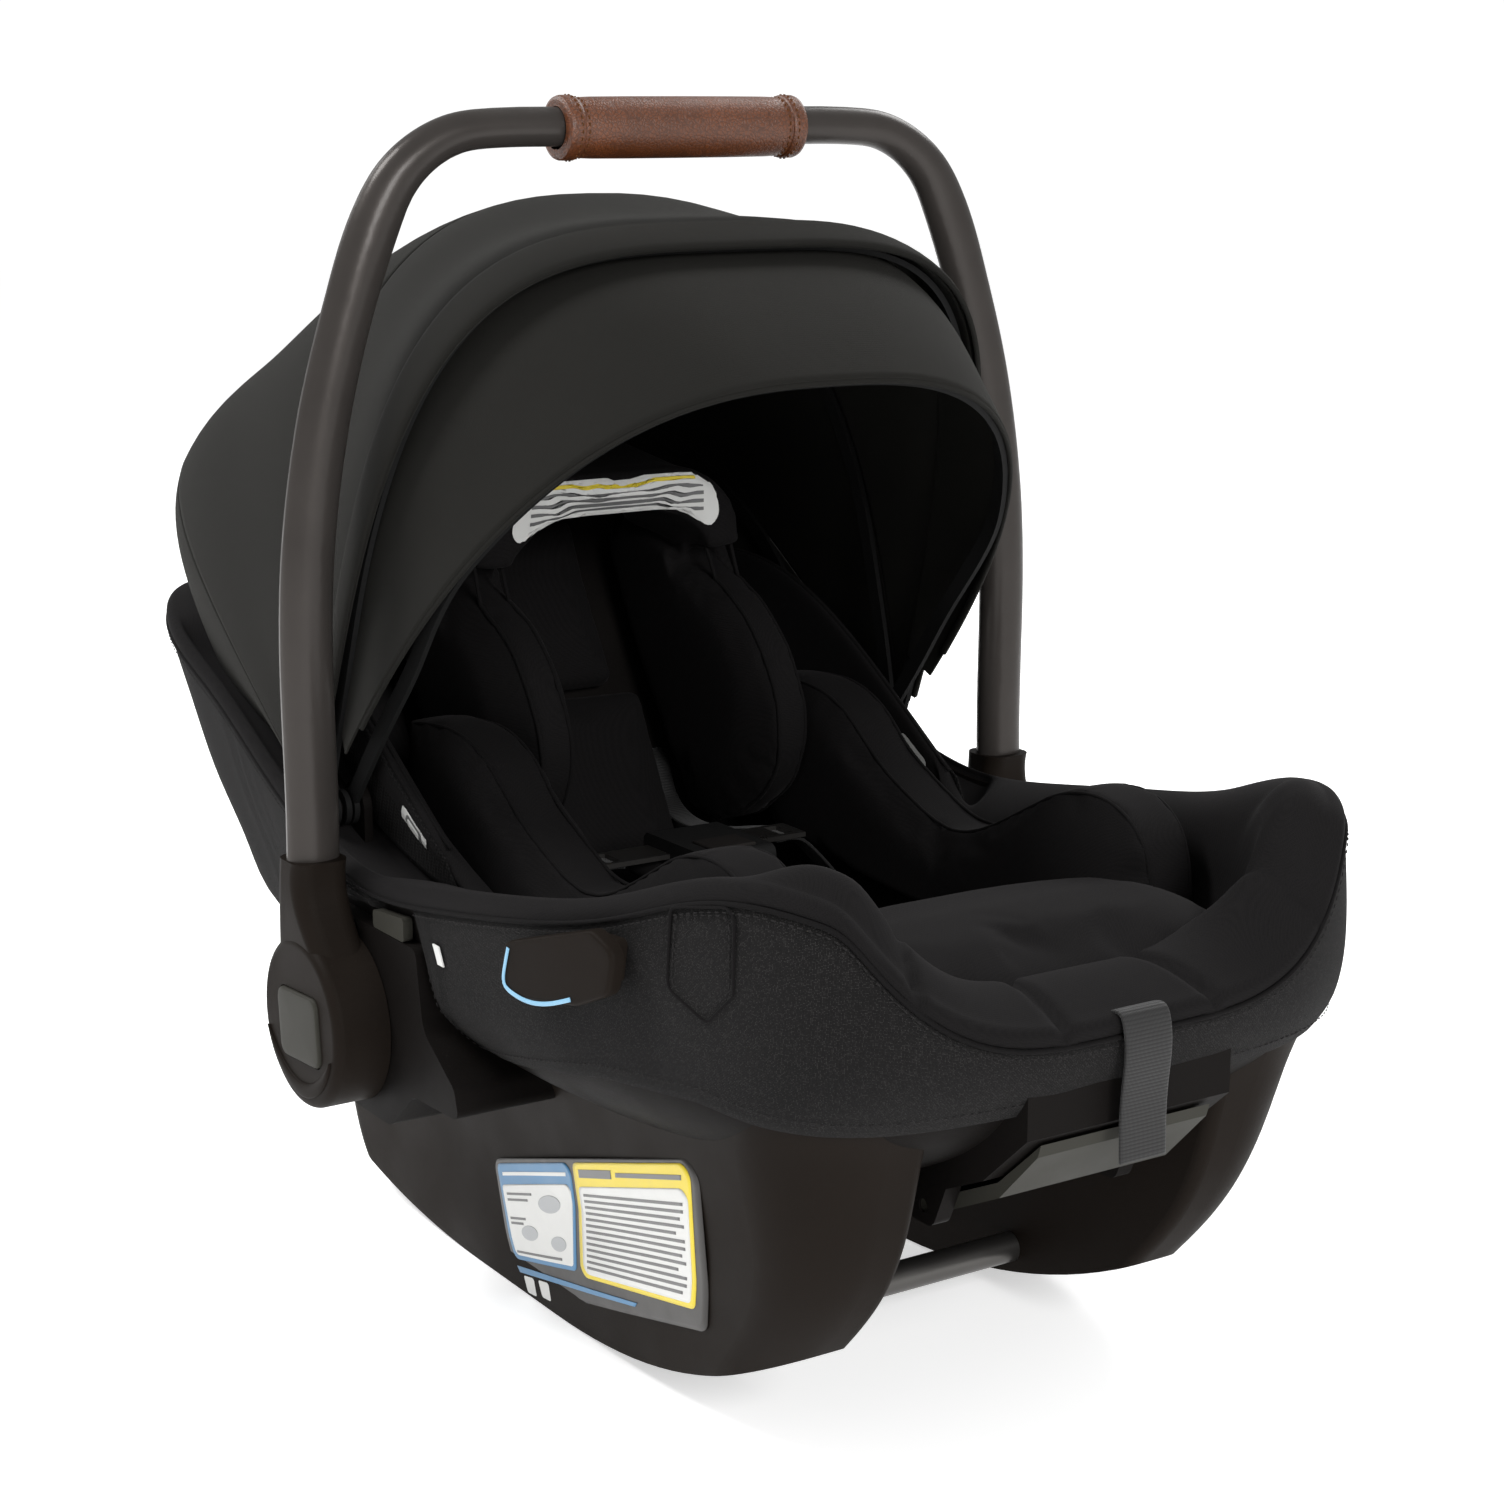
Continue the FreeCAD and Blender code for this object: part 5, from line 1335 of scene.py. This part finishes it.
def on_cover(lift):
    """Place on the rim skirt: a is the share round the bucket, b the height."""
    def place(a, b, height):
        return bowl(SHELL_LEVELS, a, b, lift + height)
    return place


def upright(x):
    """Place on an upright plane that faces along X: a along Y, b up."""
    def place(a, b, height):
        return np.stack([np.full(a.shape, x), a, b], -1)
    return place


def facing_foot(y):
    """Place on an upright plane that faces the foot end: a along X, b up."""
    def place(a, b, height):
        return np.stack([a, np.full(a.shape, y), b], -1)
    return place


def stick(piece, target, lift, faces_out):
    """Lays a film on a mesh, lifted along its normals on the side that faces_out(normals) tells."""
    pos, nrm = snap(points_of(piece), target, 0.0)
    toward = np.where(faces_out(nrm), 1.0, -1.0)
    set_points(piece, pos + nrm * toward * lift)


def swing(x, y, z, side):
    """Points of a belt guide drawn square to the skirt, turned about an upright axis at (GUIDE_X, GUIDE_Y)."""
    turn = math.radians(-8.0)
    x, y = x - GUIDE_X, y - GUIDE_Y
    return np.stack([side * (GUIDE_X + x * math.cos(turn) - y * math.sin(turn)),
                     GUIDE_Y + x * math.sin(turn) + y * math.cos(turn), z], 1)


class CARRIER_OT_prints(bpy.types.Operator):
    """Plain printed panels, badges, the sewn patch on the skirt and the coloured belt path lines"""
    bl_idname = "carrier.prints"
    bl_label = "Prints and Patch"

    def execute(self, context):
        sizes, col = context.scene.carrier_sizes, context.scene.carrier_colours
        ink = {
            "white": printed("White film", (0.66, 0.66, 0.64)),
            "blue": printed("Blue ink", (0.055, 0.19, 0.36)),
            "yellow": printed("Yellow ink", (0.72, 0.56, 0.02)),
            "grey": printed("Grey ink", (0.12, 0.12, 0.12)),
            "pale": printed("Pale grey ink", (0.38, 0.39, 0.40)),
            "film": label_film(),
        }

        def lay(name, outline, lift, colour, thick=0.7):
            return finish_piece(film(name, outline, on_skirt(lift), thick), "carrier", ink[colour])

        backing = rounded([(-3, 69), (-216, 141), (-197, 50), (-10, 2)], 8.0, 12)
        base = film("label_base", backing, on_skirt(0.8))
        finish_piece(base, "carrier", ink["film"], ("side_label",))
        left = np.array([(-6, 67.5), (-89, 96), (-79, 36), (-12, 18)], float)
        right = np.array([(-92, 97), (-209, 136.5), (-189, 58), (-83, 35)], float)
        left_field = in_quad(left, [(0.03, 0.22), (0.97, 0.20), (0.96, 0.96), (0.05, 0.95)])
        right_field = in_quad(right, [(0.03, 0.21), (0.975, 0.17), (0.965, 0.965), (0.03, 0.965)])
        lay("panel_left_edge", rounded(left, 4.5), 1.1, "blue")
        lay("panel_left", rounded(left_field, 3.0), 1.3, "white")
        lay("panel_right_edge", rounded(right, 5.5), 1.1, "yellow")
        lay("panel_right", rounded(right_field, 4.5), 1.3, "white")
        for k in range(13):
            t = 0.27 + 0.052 * k
            shape = in_quad(right, bar(0.07, (0.93, 0.93, 0.90, 0.93, 0.86)[k % 5], t, t + 0.022))
            lay("panel_bar_%02d" % k, shape, 1.45, "grey", 0.3)
        header = [(0.05, 0.06, 0.34, 0.13, right, "grey"), (0.38, 0.08, 0.93, 0.115, right, "grey"),
                  (0.06, 0.09, 0.93, 0.125, left, "white")]
        for k, (s0, t0, s1, t1, quad, colour) in enumerate(header):
            lay("header_bar_%d" % k, in_quad(quad, bar(s0, s1, t0, t1)), 1.3, colour, 0.3)
        a = np.linspace(0, 2 * math.pi, 40, endpoint=False)
        ovals = ((0.66, 0.40, 0.30, 0.17), (0.34, 0.70, 0.24, 0.15), (0.76, 0.77, 0.22, 0.14))
        for k, (s, t, w, h) in enumerate(ovals):
            shape = in_quad(left, np.stack([s + w / 2 * np.cos(a), t + h / 2 * np.sin(a)], 1))
            lay("panel_oval_%d" % k, shape, 1.45, "pale", 0.3)
        notes = ((0.30, 0.42), (0.36, 0.36), (0.55, 0.30), (0.60, 0.26), (0.90, 0.80))
        for k, (t, s1) in enumerate(notes):
            lay("panel_note_%d" % k, in_quad(left, bar(0.08, s1, t, t + 0.024)), 1.45, "grey", 0.3)
        under = np.array([(-13, 14.5), (-136, 41), (-134, 38.5), (-15, 11.5)], float)
        lay("blue_rule", in_quad(under, bar(0, 1, 0, 1, 24)), 1.2, "blue", 0.3)
        for k, (y, z) in enumerate(((-24, 8.0), (-40, 11.5))):
            shape = rounded([(y + 5.5, z + 3), (y - 5.5, z + 5.5), (y - 4.5, z - 5), (y + 4.5, z - 6)], 1.5)
            lay("small_mark_%d" % k, shape, 1.2, "white", 0.3)
        # small mark near the hem of the left side
        mark = film("hem_mark", bar(0.7680, 0.7715, 197.5, 206.5, 8), on_cover(6.2), 0.8)
        finish_piece(mark, "carrier", ink["white"])
        self.patch(sizes, col)
        self.belt_guides(col)
        self.badges(ink)
        self.head_panel(ink)
        return {"FINISHED"}

    def patch(self, sizes, col):
        """Sewn patch near the foot end of the left side: a turned edge with stitches inside it."""
        shape = np.array([(0.8815, 262.5), (0.9010, 268.5), (0.8995, 232), (0.8905, 218.0), (0.8780, 228)])
        corner = rounded(shape * (RIM_ROUND, 1), 5.0)
        for label, share in (("edge", 1.0), ("stitches", 0.86)):
            ring = (corner.mean(0) + (corner - corner.mean(0)) * share) / (RIM_ROUND, 1)
            ring = np.concatenate([ring, ring[:1]])
            step = np.linalg.norm(np.diff(ring * (RIM_ROUND, 1), axis=0), axis=1)
            s = np.concatenate([[0], np.cumsum(step)])
            at = np.linspace(0, s[-1], 120, endpoint=label == "stitches")
            ring = np.stack([np.interp(at, s, ring[:, 0]), np.interp(at, s, ring[:, 1])], 1)
            line = bowl(SHELL_LEVELS, ring[:, 0], ring[:, 1], 4.9)
            out = bowl(SHELL_LEVELS, ring[:, 0], ring[:, 1], 6.0) - line
            if label == "edge":
                bead = sweep("patch_edge", line, oval(1.6, 1.4, 8, 2.0), out, closed=True)
                finish_piece(bead, "carrier", piping_cord(col))
            else:
                row = stitches("patch_stitches", line, out, length=sizes.stitch)
                finish_piece(row, "carrier", seam_thread())

    def belt_guides(self, col):
        """Belt guides: a rounded plate standing off the skirt, joined to it at its foot end, with a
        coloured line."""
        plastic = skirt_plastic(col)
        face = rounded([(-146.5, 229.5), (-208, 248.5), (-223, 242), (-219, 223), (-196, 212.5), (-147, 206)],
                       (5, 9, 7, 9, 14, 5))
        root = rounded([(-196, 243), (-214, 243), (-212, 225), (-196, 219)], 3.0)
        for side, s in (("left", -1), ("right", 1)):
            made = [plate("guide", face, 187.5, 194.0, 2.2), plate("guide_root", root, 174.0, 189.0, 1.0)]
            for piece in made:
                q = points_of(piece)
                set_points(piece, swing(q[:, 0], q[:, 1], q[:, 2], s))
                tidy_mesh(piece)
            guide = join("belt_guide_plate_" + side, made)
            finish_piece(guide, "carrier", plastic, ("belt_guide_" + side,))
        path = along([(-151.0, 228.0), (-148.3, 219), (-148.0, 211), (-153, 208.6), (-194, 215.4)], 40)
        for side, s in (("left", -1), ("right", 1)):
            line = swing(194.2 + 0 * path[:, 0], path[:, 0], path[:, 1], s)
            bead = sweep("belt_line_" + side, line, oval(0.9, 2.0, 10, 3.0), (1, 0, 0))
            finish_piece(bead, "carrier", printed("Belt path blue", (0.20, 0.42, 0.60)))

    def badges(self, ink):
        """Badges on the fins: three plain films on each, the left one outside its fin and the right
        one inside."""
        liner = bpy.data.objects["seat_liner"]
        tilt = math.radians(29)
        o = rounded([(-14, -7), (14, -7), (14, 7), (-14, 7)], 4.0)
        yz = np.stack([25 + o[:, 0] * math.cos(tilt) - o[:, 1] * math.sin(tilt),
                       233.5 + o[:, 0] * math.sin(tilt) + o[:, 1] * math.cos(tilt)], 1)
        c = yz.mean(0)
        layers = ((1.0, 0.5, "white"), (0.62, 0.7, "grey"), (0.46, 0.9, "white"))
        for side, s, x in (("left", -1, 160.0), ("right", 1, 140.0)):
            outwards = s * (1 if x > 150 else -1)
            for k, (share, lift, colour) in enumerate(layers):
                badge = film("badge_%s_%d" % (side, k), c + (yz - c) * share, upright(s * x))
                stick(badge, liner, lift, lambda nrm: nrm[:, :1] * outwards > 0)
                finish_piece(badge, "carrier", ink[colour])

    def head_panel(self, ink):
        """Arched panel on the front of the head pad, with one coloured and four grey bars."""
        pad = bpy.data.objects["padded_headrest_cushion"]
        arched = np.array([(-64, 354), (64, 354), (60, 384), (40, 396), (-40, 396), (-60, 384)], float)
        quad = np.array([(-58, 393), (58, 393), (60, 358), (-60, 358)], float)
        shapes = [(rounded(arched, 8.0), 0.5, "white")]
        shapes += [(in_quad(quad, bar(0.10, 0.90, 0.14, 0.24)), 0.8, "yellow")]
        shapes += [(in_quad(quad, bar(0.06, 0.94, t, t + 0.06)), 0.8, "grey") for t in (0.36, 0.50, 0.64, 0.78)]
        for k, (shape, lift, colour) in enumerate(shapes):
            piece = film("head_panel_%d" % k, shape, facing_foot(70.0))
            stick(piece, pad, lift, lambda nrm: nrm[:, 1:2] < 0)
            finish_piece(piece, "headrest", ink[colour])


class CARRIER_OT_stage(bpy.types.Operator):
    """Pale seamless floor, soft studio lights and the camera"""
    bl_idname = "carrier.stage"
    bl_label = "Stage"

    def execute(self, context):
        scene = context.scene
        x = np.linspace(-9000, 9000, 40)
        p = np.stack(np.broadcast_arrays(x[:, None], x[None], -0.2), -1)
        floor = surface("studio_floor", p)
        m, w, sh = start_material("Studio paper")
        at = w.node("ShaderNodeTexCoord").outputs["Object"]
        w.put(w.mix(w.noise(at, 3.0), (0.88, 0.88, 0.88), (0.91, 0.91, 0.91)), sh["Base Color"])
        sh["Roughness"].default_value = 0.6
        sh["Emission Color"].default_value = (1, 1, 1, 1)
        sh["Emission Strength"].default_value = 0.55
        floor.data.materials.append(m)
        world = bpy.data.worlds.new("Studio")
        scene.world = world
        world.use_nodes = True
        back = world.node_tree.nodes["Background"]
        back.inputs["Color"].default_value = (1, 1, 1, 1)
        # the backdrop shows white, while it lights the carrier at half that strength
        sky = Wiring(world.node_tree)
        seen = sky.node("ShaderNodeLightPath").outputs["Is Camera Ray"]
        sky.put(sky.ramp(seen, 0.0, 1.0, 0.5, 1.05), back.inputs["Strength"])
        scene.view_settings.view_transform = "Standard"
        for name, place, aim, power, size in (
            ("key_light", (-1.5, 0.9, 2.7), (0, 0.1, 0.3), 72, 1.2),
            ("front_light", (-0.2, -2.4, 1.3), (0, 0.1, 0.3), 40, 0.9),
            ("rim_light", (1.9, 0.9, 1.9), (0, 0, 0.3), 22, 1.2),
            ("back_light", (-0.8, 2.2, 1.6), (0, 0.1, 0.35), 14, 1.2),
        ):
            data = bpy.data.lights.new(name, "AREA")
            data.energy, data.size, data.shape = power, size, "DISK"
            light = bpy.data.objects.new(name, data)
            light.location = place
            aim_at(light, aim)
            scene.collection.objects.link(light)
        data = bpy.data.cameras.new("camera")
        data.sensor_width, data.lens = 36.0, 67.87
        camera = bpy.data.objects.new("camera", data)
        camera.location = (-0.74393, -1.1800, 0.57994)
        camera.rotation_euler = (math.radians(77.03), 0, math.radians(-33.12))
        scene.collection.objects.link(camera)
        scene.camera = camera
        return {"FINISHED"}


def aim_at(obj, target):
    d = np.asarray(target, float) - np.asarray(obj.location, float)
    flat = math.hypot(d[0], d[1])
    obj.rotation_euler = (math.pi / 2 + math.atan2(d[2], flat), 0, math.atan2(d[1], d[0]) - math.pi / 2)


class CARRIER_PT_panel(bpy.types.Panel):
    """Lists the pieces and their sizes"""
    bl_idname = "CARRIER_PT_panel"
    bl_label = "Infant Carrier"
    bl_space_type = "VIEW_3D"
    bl_region_type = "UI"
    bl_category = "Carrier"

    def draw(self, context):
        for cls in OPERATORS:
            self.layout.operator(cls.bl_idname, text=cls.bl_label)
        for settings in (context.scene.carrier_sizes, context.scene.carrier_colours):
            for key in settings.__annotations__:
                self.layout.prop(settings, key)


OPERATORS = (CARRIER_OT_stage, CARRIER_OT_finishes, CARRIER_OT_rim, CARRIER_OT_liner, CARRIER_OT_padding,
             CARRIER_OT_canopy, CARRIER_OT_handle, CARRIER_OT_webbing, CARRIER_OT_prints)
CLASSES = (CarrierSizes, CarrierColours, *OPERATORS, CARRIER_PT_panel)


def register():
    for cls in CLASSES:
        bpy.utils.register_class(cls)
    bpy.types.Scene.carrier_sizes = PointerProperty(type=CarrierSizes)
    bpy.types.Scene.carrier_colours = PointerProperty(type=CarrierColours)


def unregister():
    del bpy.types.Scene.carrier_colours
    del bpy.types.Scene.carrier_sizes
    for cls in reversed(CLASSES):
        bpy.utils.unregister_class(cls)


def main():
    register()
    for cls in OPERATORS:
        area, name = cls.bl_idname.split(".")
        getattr(getattr(bpy.ops, area), name)()


if __name__ == "__main__":
    main()
